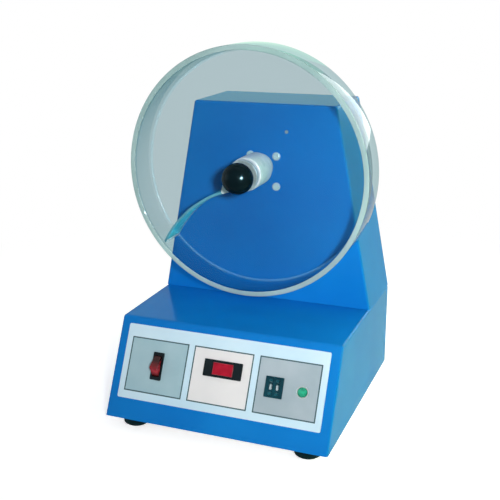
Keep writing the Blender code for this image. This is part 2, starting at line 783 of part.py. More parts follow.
def make_clamp(drum_axis):
    bore = STUD_RADIUS + CLEARANCE
    washer = ring_profile(WASHER_RADIUS, bore, 0, WASHER_THICKNESS, WASHER_CHAMFER)
    turned("clamp_washer", washer, HUB_SEGMENTS, drum_axis, "satin_aluminium", (0, 0, WASHER_BACK))
    flat = math.sqrt(KNOB_RADIUS**2 - KNOB_FLAT_RADIUS**2)
    lowest = math.atan2(-flat, KNOB_FLAT_RADIUS)
    ball = arc((0, flat), KNOB_RADIUS, math.pi / 2, lowest, KNOB_STEPS)
    ball[0] = (0, flat + KNOB_RADIUS)
    profile = ball + [(bore, 0), (bore, KNOB_BORE_DEPTH), (0, KNOB_BORE_DEPTH)]
    turned("clamp_knob", profile, HUB_SEGMENTS, drum_axis, "gloss_black", (0, 0, KNOB_BACK))


# Geared motor behind the tower's front


def screw_places():
    return [
        (sx * SCREW_SPACING_X / 2, sz * SCREW_SPACING_Z / 2) for sx in (-1, 1) for sz in (-1, 1)
    ]


def make_motor(gearbox_frame, drum_axis):
    front = -(SHEET + CLEARANCE)
    back = front - GEARBOX_DEPTH
    mesh = rounded_plate("gearbox", GEARBOX_WIDTH, GEARBOX_HEIGHT, back, front, GEARBOX_CORNER)
    gearbox = add_piece("gearbox", mesh, gearbox_frame, "zinc_plate")
    bush_end = -(BUSH_LENGTH + CLEARANCE)
    shaft_end = front - GEARBOX_SHAFT_DEPTH
    bush_room = rod("bush_room", BUSH_RADIUS, bush_end, OVERRUN, HUB_SEGMENTS)
    shaft_room = rod("shaft_room", SHAFT_RADIUS + CLEARANCE, shaft_end, OVERRUN, HUB_SEGMENTS // 2)
    tools = [
        add_tool("bush_room", bush_room, drum_axis),
        add_tool("shaft_room", shaft_room, drum_axis),
    ]
    deep = front - SCREW_GRIP - CLEARANCE
    for i, place in enumerate(screw_places()):
        name = f"gearbox_hole_{i}"
        hole = rod(name, SCREW_SHANK_RADIUS + CLEARANCE, deep, OVERRUN, SCREW_SEGMENTS, place)
        tools.append(add_tool(name, hole, gearbox_frame))
    combine(gearbox, tools)

    face = back - CLEARANCE
    end = face - MOTOR_LENGTH
    cap = end - MOTOR_END_LENGTH
    motor = [
        (0, face),
        (MOTOR_RADIUS, face),
        (MOTOR_RADIUS, end),
        (MOTOR_END_RADIUS, cap),
        (MOTOR_BOSS_RADIUS, cap),
        (MOTOR_BOSS_RADIUS, cap - MOTOR_BOSS_LENGTH),
        (0, cap - MOTOR_BOSS_LENGTH),
    ]
    turned("drive_motor", motor, HUB_SEGMENTS, gearbox_frame, "steel", (0, -MOTOR_DROP, 0))

    head = CLEARANCE + SCREW_HEAD_HEIGHT
    dome = SCREW_HEAD_HEIGHT / 3
    screw = [
        (0, head),
        (SCREW_HEAD_RADIUS - dome, head),
        (SCREW_HEAD_RADIUS, head - dome),
        (SCREW_HEAD_RADIUS, CLEARANCE),
        (SCREW_SHANK_RADIUS, CLEARANCE),
        (SCREW_SHANK_RADIUS, front - SCREW_GRIP),
        (0, front - SCREW_GRIP),
    ]
    for i, (x, y) in enumerate(screw_places()):
        turned(f"gearbox_screw_{i + 1}", screw, SCREW_SEGMENTS, gearbox_frame, "steel", (x, y, 0))


# Label plate and the devices on the sloping front


def device_places():
    return {
        "switch": (SWITCH_SIDE_OFFSET - FIELD_PITCH, FIELD_MIDDLE + SWITCH_RISE),
        "display": (DISPLAY_SIDE_OFFSET, FIELD_MIDDLE + DISPLAY_RISE),
        "setter": (FIELD_PITCH - SETTER_SIDE_OFFSET, FIELD_MIDDLE - SETTER_DROP),
        "lamp": (FIELD_PITCH + LAMP_SIDE_OFFSET, FIELD_MIDDLE - LAMP_DROP),
    }


def panel_holes(panel):
    """Cutters for the devices, which go through the label plate and the sheet behind it."""
    low = -(SHEET + OVERRUN)
    high = DEVICE_SEAT + OVERRUN
    extra = 2 * CLEARANCE
    sizes = {
        "switch": (SWITCH_BODY_WIDTH + extra, SWITCH_BODY_LENGTH + extra),
        "display": (
            DISPLAY_WIDTH - 2 * DISPLAY_BODY_MARGIN + extra,
            DISPLAY_HEIGHT - 2 * DISPLAY_BODY_MARGIN + extra,
        ),
        "setter": (
            SETTER_WIDTH - 2 * SETTER_BODY_MARGIN + extra,
            SETTER_HEIGHT - 2 * SETTER_BODY_MARGIN + extra,
        ),
    }
    tools = []
    for device, (x, y) in device_places().items():
        name = f"{device}_hole"
        tool = CUTTERS.objects.get(name)
        if tool is None and device == "lamp":
            mesh = rod(name, LAMP_BARREL_RADIUS + CLEARANCE, low, high, LAMP_SEGMENTS, (x, y))
            tool = add_tool(name, mesh, panel)
        elif tool is None:
            width, height = sizes[device]
            mesh = block(name, (width, height, high - low), (x, y, (low + high) / 2))
            tool = add_tool(name, mesh, panel)
        tools.append(tool)
    return tools


def make_label(panel):
    middle = LABEL_BOTTOM_MARGIN + LABEL_HEIGHT / 2
    mesh = rounded_plate(
        "label_plate",
        LABEL_WIDTH,
        LABEL_HEIGHT,
        CLEARANCE,
        CLEARANCE + LABEL_THICKNESS,
        LABEL_CORNER,
        (0, middle),
    )
    label = add_piece("label_plate", mesh, panel, "label_film")
    combine(label, panel_holes(panel))


def ridge_arc(corner):
    """The rocker's rounded ridge, which the straight faces from its end corners meet smoothly."""
    centre = (0, ROCKER_RIDGE - ROCKER_RIDGE_RADIUS)
    aside, below = corner[0], corner[1] - centre[1]
    start = math.atan2(below, aside) + math.acos(ROCKER_RIDGE_RADIUS / math.hypot(aside, below))
    return arc(centre, ROCKER_RIDGE_RADIUS, start, math.pi - start, CURVE_STEPS)


def make_switch(panel):
    x, y = device_places()["switch"]
    seat = add_frame("switch_frame", (x, y, DEVICE_SEAT), (0, 0, 0), panel)
    bezel = rounded_plate("switch_body", SWITCH_WIDTH, SWITCH_LENGTH, 0, SWITCH_BEZEL, SWITCH_CORNER)
    body = add_piece("switch_body", bezel, seat, "black_plastic")
    deep = SWITCH_BODY_DEPTH
    barrel = block(
        "switch_barrel",
        (SWITCH_BODY_WIDTH, SWITCH_BODY_LENGTH, deep + SWITCH_BEZEL / 2),
        (0, 0, (SWITCH_BEZEL / 2 - deep) / 2),
    )
    blades = [
        add_tool(
            f"switch_blade_{i}",
            block(
                f"switch_blade_{i}",
                (BLADE_WIDTH, BLADE_THICKNESS, BLADE_LENGTH + SWITCH_WALL),
                (0, i * SWITCH_BODY_LENGTH / 4, -(deep + (BLADE_LENGTH - SWITCH_WALL) / 2)),
            ),
            seat,
        )
        for i in (-1, 0, 1)
    ]
    combine(body, [add_tool("switch_barrel", barrel, seat), *blades], "UNION")
    pocket_width = SWITCH_BODY_WIDTH - 2 * SWITCH_WALL
    pocket_length = SWITCH_BODY_LENGTH - 2 * SWITCH_WALL
    pocket_floor = SWITCH_BEZEL - SWITCH_POCKET_DEPTH
    pocket_top = SWITCH_BEZEL + OVERRUN
    pocket = block(
        "switch_pocket",
        (pocket_width, pocket_length, pocket_top - pocket_floor),
        (0, 0, (pocket_top + pocket_floor) / 2),
    )
    pivot = (0, 0, SWITCH_BEZEL - ROCKER_PIVOT_DEPTH)
    across = (0, math.pi / 2, 0)
    reach = pocket_width / 2 + ROCKER_PIN_LENGTH
    sockets = rod("rocker_sockets", ROCKER_PIN_RADIUS + CLEARANCE, -reach, reach, SCREW_SEGMENTS)
    cutters = [
        add_tool("switch_pocket", pocket, seat),
        add_tool("rocker_sockets", sockets, seat, pivot, across),
    ]
    combine(body, cutters)

    radius = pocket_length / 2 - CLEARANCE
    half = pocket_width / 2 - CLEARANCE
    top, side = ROCKER_TOP_ANGLE, -ROCKER_SIDE_ANGLE
    outline = arc((0, 0), radius, side, top, CURVE_STEPS)
    outline += ridge_arc(outline[-1])
    outline += arc((0, 0), radius, math.pi - top, math.pi - side, CURVE_STEPS)
    outline += [(0, -ROCKER_KEEL)]
    mesh = outline_mesh("switch_rocker", outline, -half, half)
    # The outline's X runs up the panel and its Y outwards, so its Z lies across the panel.
    mesh.transform(Matrix(((0, 0, 1), (1, 0, 0), (0, 1, 0))).to_4x4())
    tilt = (ROCKER_SWING / 2, 0, 0)
    shade(mesh)
    rocker = add_piece("switch_rocker", mesh, seat, "red_plastic", pivot, tilt)
    pin_end = reach - CLEARANCE
    pins = rod("rocker_pins", ROCKER_PIN_RADIUS, -pin_end, pin_end, SCREW_SEGMENTS)
    combine(rocker, [add_tool("rocker_pins", pins, seat, pivot, across)], "UNION")


def make_display(panel):
    x, y = device_places()["display"]
    seat = add_frame("display_frame", (x, y, DEVICE_SEAT), (0, 0, 0), panel)
    bezel = rounded_plate(
        "display_bezel", DISPLAY_WIDTH, DISPLAY_HEIGHT, 0, DISPLAY_BEZEL, DISPLAY_CORNER
    )
    body = add_piece("display_bezel", bezel, seat, "black_plastic")
    width = DISPLAY_WIDTH - 2 * DISPLAY_BODY_MARGIN
    height = DISPLAY_HEIGHT - 2 * DISPLAY_BODY_MARGIN
    barrel = block(
        "display_barrel",
        (width, height, DISPLAY_BODY_DEPTH + DISPLAY_BEZEL / 2),
        (0, 0, (DISPLAY_BEZEL / 2 - DISPLAY_BODY_DEPTH) / 2),
    )
    combine(body, [add_tool("display_barrel", barrel, seat)], "UNION")
    floor = DISPLAY_BEZEL - WINDOW_THICKNESS - CLEARANCE
    behind = floor - DISPLAY_WALL
    hollow_low = -(DISPLAY_BODY_DEPTH + OVERRUN)
    front = DISPLAY_BEZEL + OVERRUN
    hollow_size = (width - 2 * DISPLAY_WALL, height - 2 * DISPLAY_WALL)
    shapes = {
        "window_seat": ((WINDOW_WIDTH, WINDOW_HEIGHT), floor, front),
        "window_hole": (
            (WINDOW_WIDTH - 2 * WINDOW_LEDGE, min(WINDOW_HEIGHT - 2 * WINDOW_LEDGE, hollow_size[1])),
            behind - OVERRUN,
            front,
        ),
        "display_hollow": (hollow_size, hollow_low, behind),
    }
    tools = []
    for name, (size, low, high) in shapes.items():
        mesh = block(name, (*size, high - low), (0, 0, (low + high) / 2))
        tools.append(add_tool(name, mesh, seat))
    combine(body, tools)

    gap = 2 * CLEARANCE
    low = floor + CLEARANCE
    window = block(
        "display_window",
        (WINDOW_WIDTH - gap, WINDOW_HEIGHT - gap, WINDOW_THICKNESS - CLEARANCE),
        (0, 0, low + (WINDOW_THICKNESS - CLEARANCE) / 2),
    )
    add_piece("display_window", window, seat, "red_plastic")
    module = block(
        "display_module",
        (hollow_size[0] - gap, hollow_size[1] - gap, MODULE_DEPTH),
        (0, 0, behind - CLEARANCE - MODULE_DEPTH / 2),
    )
    add_piece("display_module", module, seat, "black_plastic")


def make_setter(panel):
    x, y = device_places()["setter"]
    seat = add_frame("setter_frame", (x, y, DEVICE_SEAT), (0, 0, 0), panel)
    bezel = rounded_plate("setter_body", SETTER_WIDTH, SETTER_HEIGHT, 0, SETTER_BEZEL, SETTER_CORNER)
    body = add_piece("setter_body", bezel, seat, "black_plastic")
    width = SETTER_WIDTH - 2 * SETTER_BODY_MARGIN
    height = SETTER_HEIGHT - 2 * SETTER_BODY_MARGIN
    barrel = block(
        "setter_barrel",
        (width, height, SETTER_BODY_DEPTH + SETTER_BEZEL / 2),
        (0, 0, (SETTER_BEZEL / 2 - SETTER_BODY_DEPTH) / 2),
    )
    combine(body, [add_tool("setter_barrel", barrel, seat)], "UNION")
    back_of_front = -SETTER_FRONT_WALL
    wheel_centre = back_of_front - WHEEL_GAP - WHEEL_RADIUS
    room_width = DIGIT_PITCH - DIGIT_WEB
    room_height = height - 2 * DIGIT_WEB
    low = -(SETTER_BODY_DEPTH + OVERRUN)
    front = SETTER_BEZEL + OVERRUN
    gap = 2 * CLEARANCE
    across = (0, math.pi / 2, 0)
    tools = []
    for digit, side in (("tens", -1), ("units", 1)):
        column = side * DIGIT_PITCH / 2
        room = block(
            f"{digit}_room",
            (room_width, room_height, back_of_front - low),
            (column, 0, (back_of_front + low) / 2),
        )
        tools.append(add_tool(f"{digit}_room", room, seat))
        openings = {"window": (0, DIGIT_WINDOW_WIDTH, DIGIT_WINDOW_HEIGHT)}
        for press, way in (("plus", 1), ("minus", -1)):
            openings[press] = (way * BUTTON_OFFSET, BUTTON_WIDTH + gap, BUTTON_HEIGHT + gap)
        for opening, (rise, wide, tall) in openings.items():
            name = f"{digit}_{opening}_hole"
            size = (wide, tall, front - back_of_front + OVERRUN)
            mesh = block(name, size, (column, rise, (front + back_of_front - OVERRUN) / 2))
            tools.append(add_tool(name, mesh, seat))
    reach = DIGIT_PITCH - DIGIT_WEB / 2 + AXLE_SEAT
    axle_room = rod("axle_room", AXLE_RADIUS + CLEARANCE, -reach, reach, SCREW_SEGMENTS)
    tools.append(add_tool("axle_room", axle_room, seat, (0, 0, wheel_centre), across))
    combine(body, tools)

    end = reach - CLEARANCE
    axle = rod("digit_axle", AXLE_RADIUS, -end, end, SCREW_SEGMENTS)
    add_piece("digit_axle", axle, seat, "steel", (0, 0, wheel_centre), across)
    half = room_width / 2 - CLEARANCE
    wheel = ring_profile(WHEEL_RADIUS, AXLE_RADIUS + CLEARANCE, -half, half, CLEARANCE)
    foot_width = BUTTON_WIDTH + 2 * BUTTON_FOOT_OVERHANG
    for digit, side in (("tens", -1), ("units", 1)):
        column = side * DIGIT_PITCH / 2
        piece = turned(
            f"{digit}_wheel", wheel, FOOT_SEGMENTS, seat, "white_plastic", (column, 0, wheel_centre)
        )
        piece.rotation_euler = across
        for press, way in (("plus", 1), ("minus", -1)):
            name = f"{digit}_{press}_button"
            place = (column, way * BUTTON_OFFSET, 0)
            foot_top = back_of_front - CLEARANCE
            stem_top = SETTER_BEZEL + BUTTON_STAND
            stem_low = foot_top - BUTTON_FOOT / 2
            stem = block(
                name,
                (BUTTON_WIDTH, BUTTON_HEIGHT, stem_top - stem_low),
                (0, 0, (stem_top + stem_low) / 2),
            )
            button = add_piece(name, stem, seat, "black_plastic", place)
            foot = block(
                f"{name}_foot",
                (foot_width, BUTTON_HEIGHT, BUTTON_FOOT),
                (0, 0, foot_top - BUTTON_FOOT / 2),
            )
            combine(button, [add_tool(f"{name}_foot", foot, seat, place)], "UNION")


def make_lamp(panel):
    x, y = device_places()["lamp"]
    seat = add_frame("lamp_frame", (x, y, DEVICE_SEAT), (0, 0, 0), panel)
    chamfer = LAMP_BEZEL / 3
    floor = LAMP_BEZEL - LAMP_LENS_SEAT
    recess = LAMP_LENS_RADIUS + CLEARANCE
    bore = LAMP_STEM_RADIUS + CLEARANCE
    bezel = [
        (LAMP_RADIUS - chamfer, LAMP_BEZEL),
        (LAMP_RADIUS, LAMP_BEZEL - chamfer),
        (LAMP_RADIUS, 0),
        (LAMP_BARREL_RADIUS, 0),
        (LAMP_BARREL_RADIUS, -LAMP_BARREL_LENGTH),
        (bore, -LAMP_BARREL_LENGTH),
        (bore, floor),
        (recess, floor),
        (recess, LAMP_BEZEL),
    ]
    turned("lamp_bezel", bezel, LAMP_SEGMENTS, seat, "steel")
    low = floor + CLEARANCE
    brim = LAMP_BEZEL + CLEARANCE
    quarter = arc((0, 0), 1, math.pi / 2, 0, CURVE_STEPS)
    dome = [(LAMP_LENS_RADIUS * px, brim + LAMP_DOME * py) for px, py in quarter]
    dome[0] = (0, brim + LAMP_DOME)
    lens = dome + [
        (LAMP_LENS_RADIUS, low),
        (LAMP_STEM_RADIUS, low),
        (LAMP_STEM_RADIUS, -LAMP_BARREL_LENGTH),
        (0, -LAMP_BARREL_LENGTH),
    ]
    turned("lamp_lens", lens, LAMP_SEGMENTS, seat, "green_lens")


# Mains inlet and fuse in the rear of the base


def rear_places():
    height = FOOT_HEIGHT + REAR_DEVICE_HEIGHT
    return {
        "inlet": (INLET_SIDE_INSET - BASE_WIDTH / 2, height),
        "fuse": (FUSE_SIDE_INSET - BASE_WIDTH / 2, height),
    }


def rear_holes(rear_view):
    through = SHEET + OVERRUN
    gap = 2 * CLEARANCE
    inlet = block(
        "inlet_hole", (INLET_BODY_WIDTH + gap, INLET_BODY_HEIGHT + gap, 2 * through), (0, 0, 0)
    )
    fuse = rod("fuse_hole", FUSE_BODY_RADIUS + CLEARANCE, -through, through, FUSE_SEGMENTS)
    places = rear_places()
    return [
        add_tool("inlet_hole", inlet, rear_view, (*places["inlet"], 0)),
        add_tool("fuse_hole", fuse, rear_view, (*places["fuse"], 0)),
    ]


def make_inlet(rear_view):
    seat = add_frame("inlet_frame", (*rear_places()["inlet"], CLEARANCE), (0, 0, 0), rear_view)
    flange = rounded_plate("mains_inlet", INLET_WIDTH, INLET_HEIGHT, 0, INLET_FLANGE, INLET_CORNER)
    body = add_piece("mains_inlet", flange, seat, "black_plastic")
    barrel = block(
        "inlet_barrel",
        (INLET_BODY_WIDTH, INLET_BODY_HEIGHT, INLET_BODY_DEPTH + INLET_FLANGE / 2),
        (0, 0, (INLET_FLANGE / 2 - INLET_BODY_DEPTH) / 2),
    )
    combine(body, [add_tool("inlet_barrel", barrel, seat)], "UNION")
    floor = INLET_FLANGE - INLET_CAVITY_DEPTH
    top = INLET_FLANGE + OVERRUN
    cavity = block(
        "inlet_cavity",
        (INLET_BODY_WIDTH - 2 * INLET_WALL, INLET_BODY_HEIGHT - 2 * INLET_WALL, top - floor),
        (0, 0, (top + floor) / 2),
    )
    tools = [add_tool("inlet_cavity", cavity, seat)]
    gap = 2 * CLEARANCE
    low = -(INLET_BODY_DEPTH + PIN_TAIL)
    high = floor + PIN_LENGTH
    places = {
        "inlet_pin_line": (-PIN_SPACING / 2, -PIN_DROP),
        "inlet_pin_neutral": (PIN_SPACING / 2, -PIN_DROP),
        "inlet_pin_earth": (0, PIN_DROP),
    }
    for name, (x, y) in places.items():
        size = (PIN_THICKNESS, PIN_HEIGHT, high - low)
        pin = block(name, size, (x, y, (low + high) / 2))
        add_piece(name, pin, seat, "steel")
        room = (PIN_THICKNESS + gap, PIN_HEIGHT + gap, high - low)
        hole = block(f"{name}_hole", room, (x, y, (low + high) / 2 - OVERRUN))
        tools.append(add_tool(f"{name}_hole", hole, seat))
    combine(body, tools)


def make_fuse(rear_view):
    seat = add_frame("fuse_frame", (*rear_places()["fuse"], CLEARANCE), (0, 0, 0), rear_view)
    holder = [
        (FUSE_FLANGE_RADIUS, FUSE_FLANGE),
        (FUSE_FLANGE_RADIUS, 0),
        (FUSE_BODY_RADIUS, 0),
        (FUSE_BODY_RADIUS, -FUSE_BODY_DEPTH),
        (0, -FUSE_BODY_DEPTH),
        (0, SHEET - FUSE_BODY_DEPTH),
        (FUSE_BORE_RADIUS, SHEET - FUSE_BODY_DEPTH),
        (FUSE_BORE_RADIUS, FUSE_FLANGE),
    ]
    turned("fuse_holder", closed_bottom(holder), FUSE_SEGMENTS, seat, "black_plastic")
    plug = FUSE_BORE_RADIUS - CLEARANCE
    low = FUSE_FLANGE + CLEARANCE
    top = FUSE_FLANGE + FUSE_CAP_STAND + CLEARANCE
    chamfer = FUSE_CAP_RADIUS / 6
    cap = [
        (0, top),
        (FUSE_CAP_RADIUS - chamfer, top),
        (FUSE_CAP_RADIUS, top - chamfer),
        (FUSE_CAP_RADIUS, low),
        (plug, low),
        (plug, low - FUSE_CAP_PLUG),
        (0, low - FUSE_CAP_PLUG),
    ]
    piece = turned("fuse_cap", cap, FUSE_SEGMENTS, seat, "black_plastic")
    size = (2 * FUSE_CAP_RADIUS + OVERRUN, FUSE_SLOT_WIDTH, FUSE_SLOT_DEPTH + OVERRUN)
    slot = block("cap_slot", size, (0, 0, top - FUSE_SLOT_DEPTH + size[2] / 2))
    combine(piece, [add_tool("cap_slot", slot, seat)])


def closed_bottom(profile):
    """A cup's profile, started on the axis at its floor so that it ends there too."""
    start = next(i for i, (radius, _) in enumerate(profile) if radius == 0) + 1
    return profile[start:] + profile[:start]


# Inside the base


def make_transformer(ground):
    x, y = plan_to_board(TRANSFORMER_X_SHARE, TRANSFORMER_Y_SHARE)
    seat = add_frame("transformer_frame", (x, y, FOOT_HEIGHT + SHEET + CLEARANCE), (0, 0, 0), ground)
    foot = block(
        "transformer_core",
        (CORE_FOOT_LENGTH, CORE_STACK, CORE_FOOT_THICKNESS),
        (0, 0, CORE_FOOT_THICKNESS / 2),
    )
    core = add_piece("transformer_core", foot, seat, "core_iron")
    stack = block(
        "core_stack", (CORE_WIDTH, CORE_STACK, CORE_HEIGHT - CORE_FOOT_THICKNESS / 2),
        (0, 0, (CORE_HEIGHT + CORE_FOOT_THICKNESS / 2) / 2),
    )
    combine(core, [add_tool("core_stack", stack, seat)], "UNION")
    windows = []
    for side in (-1, 1):
        name = f"core_window_{side + 1}"
        size = (CORE_WINDOW_WIDTH, CORE_STACK + 2 * OVERRUN, CORE_WINDOW_HEIGHT)
        place = (side * (CORE_LEG + CORE_WINDOW_WIDTH) / 2, 0, CORE_HEIGHT / 2)
        windows.append(add_tool(name, block(name, size, place), seat))
    combine(core, windows)
    inner = (CORE_LEG + 2 * CLEARANCE, CORE_STACK + 2 * CLEARANCE)
    layer = min(COIL_THICKNESS, CORE_WINDOW_WIDTH - 2 * CLEARANCE)
    height = CORE_WINDOW_HEIGHT - 2 * CLEARANCE
    size = (inner[0] + 2 * layer, inner[1] + 2 * layer, height)
    outer = block("transformer_coil", size, (0, 0, CORE_HEIGHT / 2))
    coil = add_piece("transformer_coil", outer, seat, "copper_winding")
    hole = block("coil_hole", (*inner, height + 2 * OVERRUN), (0, 0, CORE_HEIGHT / 2))
    combine(coil, [add_tool("coil_hole", hole, seat)])


def make_board(ground):
    x, y = plan_to_board(BOARD_X_SHARE, BOARD_Y_SHARE)
    low = FOOT_HEIGHT + SHEET + PILLAR_HEIGHT + CLEARANCE
    seat = add_frame("board_frame", (x, y, low), (0, 0, 0), ground)
    board = block(
        "control_board", (BOARD_WIDTH, BOARD_DEPTH, BOARD_THICKNESS), (0, 0, BOARD_THICKNESS / 2)
    )
    add_piece("control_board", board, seat, "circuit_board")
    top = BOARD_THICKNESS + CLEARANCE
    right = BOARD_WIDTH / 2 - BOARD_PART_INSET
    back = BOARD_DEPTH / 2 - BOARD_PART_INSET
    devices = {
        "relay": (RELAY_SIZE, (-right, 0), "white_plastic"),
        "terminal_block": (TERMINAL_SIZE, (0, back), "black_plastic"),
    }
    for name, (size, (px, py), finish) in devices.items():
        mesh = block(name, size, (px, py, top + size[2] / 2))
        add_piece(name, mesh, seat, finish)
    can = rod("capacitor", CAPACITOR_RADIUS, top, top + CAPACITOR_HEIGHT, FUSE_SEGMENTS, (right, 0))
    add_piece("capacitor", can, seat, "satin_aluminium")


def main():
    ground = add_frame("ground_frame", (0, -FRAME_CENTRE_Y, 0), (0, 0, 0), None)
    side_turn = Matrix(((0, 0, 1), (1, 0, 0), (0, 1, 0))).to_euler()
    front_turn = Euler((math.pi / 2, 0, 0))
    panel_turn = Euler((math.atan2(BASE_HEIGHT, PANEL_RUN), 0, 0))
    rear_turn = Euler((math.pi / 2, 0, math.pi))
    side_view = add_frame("side_view", (0, 0, 0), side_turn, ground)
    front_view = add_frame("front_view", (0, TOWER_FRONT, 0), front_turn, ground)
    drum_axis = add_frame("drum_axis", (0, TOWER_FRONT, AXIS_HEIGHT), front_turn, ground)
    gearbox_frame = add_frame("gearbox_frame", (0, TOWER_FRONT, GEARBOX_CENTRE), front_turn, ground)
    panel = add_frame("panel_frame", (0, 0, FOOT_HEIGHT), panel_turn, ground)
    rear_view = add_frame("rear_view", (0, BASE_DEPTH, 0), rear_turn, ground)

    make_base(side_view, front_view, panel, rear_view)
    make_base_plate(ground)
    make_feet(ground)
    make_tower(front_view, drum_axis, gearbox_frame)
    make_rear_cover(front_view)
    make_drum(drum_axis)
    make_vane(drum_axis)
    make_cover(drum_axis)
    make_hub(drum_axis)
    make_shaft(drum_axis)
    make_clamp(drum_axis)
    make_motor(gearbox_frame, drum_axis)
    make_label(panel)
    make_switch(panel)
    make_display(panel)
    make_setter(panel)
    make_lamp(panel)
    make_inlet(rear_view)
    make_fuse(rear_view)
    make_transformer(ground)
    make_board(ground)
    bpy.context.view_layer.update()


PARTS, CUTTERS = start_scene()
main()
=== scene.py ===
# Tablet friability tester: a clear drum on a motor shaft, before a painted tower and a base with a timer
import json
import math

import bmesh
import bpy
from mathutils import Matrix, Vector


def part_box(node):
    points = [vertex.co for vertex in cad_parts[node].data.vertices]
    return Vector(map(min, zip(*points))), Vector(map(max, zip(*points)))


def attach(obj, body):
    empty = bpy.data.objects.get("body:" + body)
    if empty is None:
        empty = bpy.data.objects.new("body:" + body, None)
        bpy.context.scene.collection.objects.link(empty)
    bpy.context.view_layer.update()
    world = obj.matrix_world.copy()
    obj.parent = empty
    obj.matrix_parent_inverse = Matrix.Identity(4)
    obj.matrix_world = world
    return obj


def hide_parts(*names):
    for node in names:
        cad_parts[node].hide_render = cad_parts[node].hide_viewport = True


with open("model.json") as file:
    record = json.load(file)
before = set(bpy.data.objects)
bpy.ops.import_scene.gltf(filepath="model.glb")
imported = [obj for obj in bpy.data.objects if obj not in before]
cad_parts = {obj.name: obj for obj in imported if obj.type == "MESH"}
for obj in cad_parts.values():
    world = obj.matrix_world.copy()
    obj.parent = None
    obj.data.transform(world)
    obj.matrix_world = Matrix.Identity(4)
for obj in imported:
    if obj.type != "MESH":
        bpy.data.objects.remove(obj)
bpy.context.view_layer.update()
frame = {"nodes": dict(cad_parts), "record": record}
mm = 0.001
fullTurn = 2 * math.pi
overrun = 5 * mm  # how far a cutter reaches past what it cuts
mergeDistance = 0.002 * mm
flatAngle = 0.4  # degrees between triangles that count as one flat face
bodyOf = {n: b for b, group in frame["record"]["behaviour"]["bodies"].items() for n in group}
print("frame loaded:", len(frame["nodes"]), "nodes")


# Places: each has its own across, up and outward axes

def placeAt(origin, across, up):
    across, up = Vector(across), Vector(up).normalized()
    turn = Matrix((across, up, across.cross(up))).transposed().to_4x4()
    return Matrix.Translation(origin) @ turn


panelSlope = {"run": 56 * mm, "height": 110 * mm}
baseLow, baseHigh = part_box("base_housing")
drumLow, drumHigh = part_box("drum_body")
axisHeight = (drumLow.z + drumHigh.z) / 2
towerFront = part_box("tower_housing")[0].y
slopeUp = (0, panelSlope["run"], panelSlope["height"])
drumPlace = placeAt((0, towerFront, axisHeight), (1, 0, 0), (0, 0, 1))
facePlace = placeAt((0, towerFront, 0), (1, 0, 0), (0, 0, 1))
panelPlace = placeAt((0, baseLow.y, baseLow.z), (1, 0, 0), slopeUp)
rearPlace = placeAt((0, baseHigh.y, 0), (-1, 0, 0), (0, 0, 1))
sidePlace = placeAt((0, 0, 0), (0, 1, 0), (0, 0, 1))
underPlace = placeAt((0, 0, baseLow.z), (1, 0, 0), (0, -1, 0))


def localBox(node, place):  # a node's lowest and highest corner, in a place's own axes
    inverse = place.inverted()
    corners = [inverse @ v.co for v in frame["nodes"][node].data.vertices]
    low = Vector([min(c[i] for c in corners) for i in range(3)])
    high = Vector([max(c[i] for c in corners) for i in range(3)])
    return low, high


def centreOf(node, place):
    low, high = localBox(node, place)
    return (low.x + high.x) / 2, (low.y + high.y) / 2


# Shapes

def arcPoints(centre, radius, start, end, steps):
    angles = [start + (end - start) * i / steps for i in range(steps + 1)]
    return [(centre[0] + radius * math.cos(a), centre[1] + radius * math.sin(a)) for a in angles]


def roundedPath(points, steps=5, closed=True):  # points are (x, y, corner radius)
    path = []
    for i, (x, y, radius) in enumerate(points):
        atEnd = not closed and i in (0, len(points) - 1)
        if radius == 0 or atEnd:
            path.append((x, y))
            continue
        corner = Vector((x, y))
        before = (Vector(points[i - 1][:2]) - corner).normalized()
        after = (Vector(points[(i + 1) % len(points)][:2]) - corner).normalized()
        half = before.angle(after) / 2
        centre = corner + (before + after).normalized() * radius / math.sin(half)
        start = corner + before * radius / math.tan(half) - centre
        end = corner + after * radius / math.tan(half) - centre
        first = math.atan2(start.y, start.x)
        sweep = (math.atan2(end.y, end.x) - first + math.pi) % fullTurn - math.pi
        path += arcPoints(centre, radius, first, first + sweep, steps)
    return path


def domePath(radius, height, share):  # half the side view of a flat dome, its edge rounded by a share
    points = [(0, height, 0), (radius, height, height * share), (radius, 0, 0), (0, 0, 0)]
    return roundedPath(points, steps=5, closed=False)


def shaded(mesh, angle=35):
    mesh.shade_smooth()
    mesh.set_sharp_from_angle(angle=math.radians(angle))
    return mesh


def meshOf(form, name, place=None, angle=35):
    mesh = bpy.data.meshes.new(name)
    if place is not None:
        bmesh.ops.transform(form, matrix=place, verts=form.verts)
    form.to_mesh(mesh)
    form.free()
    return shaded(mesh, angle)


def turnedMesh(name, profile, segments, place=None, angle=30):  # profile points are (radius, height)
    form = bmesh.new()
    verts = [form.verts.new((radius, 0, height)) for radius, height in profile]
    onAxis = profile[0][0] == 0 and profile[-1][0] == 0
    pairs = list(zip(verts, verts[1:])) + ([] if onAxis else [(verts[-1], verts[0])])
    edges = [form.edges.new(pair) for pair in pairs]
    bmesh.ops.spin(
        form, geom=verts + edges, axis=(0, 0, 1), cent=(0, 0, 0), angle=fullTurn, steps=segments,
        use_merge=True,
    )
    bmesh.ops.remove_doubles(form, verts=form.verts, dist=mergeDistance)
    bmesh.ops.recalc_face_normals(form, faces=form.faces)
    return meshOf(form, name, place, angle)


def prismForm(outline, low, high):
    form = bmesh.new()
    face = form.faces.new([form.verts.new((x, y, low)) for x, y in outline])
    top = bmesh.ops.extrude_face_region(form, geom=[face])["geom"]
    moved = [v for v in top if isinstance(v, bmesh.types.BMVert)]
    bmesh.ops.translate(form, vec=(0, 0, high - low), verts=moved)
    bmesh.ops.recalc_face_normals(form, faces=form.faces)
    return form


def prismMesh(name, outline, low, high, place=None):
    return meshOf(prismForm(outline, low, high), name, place)


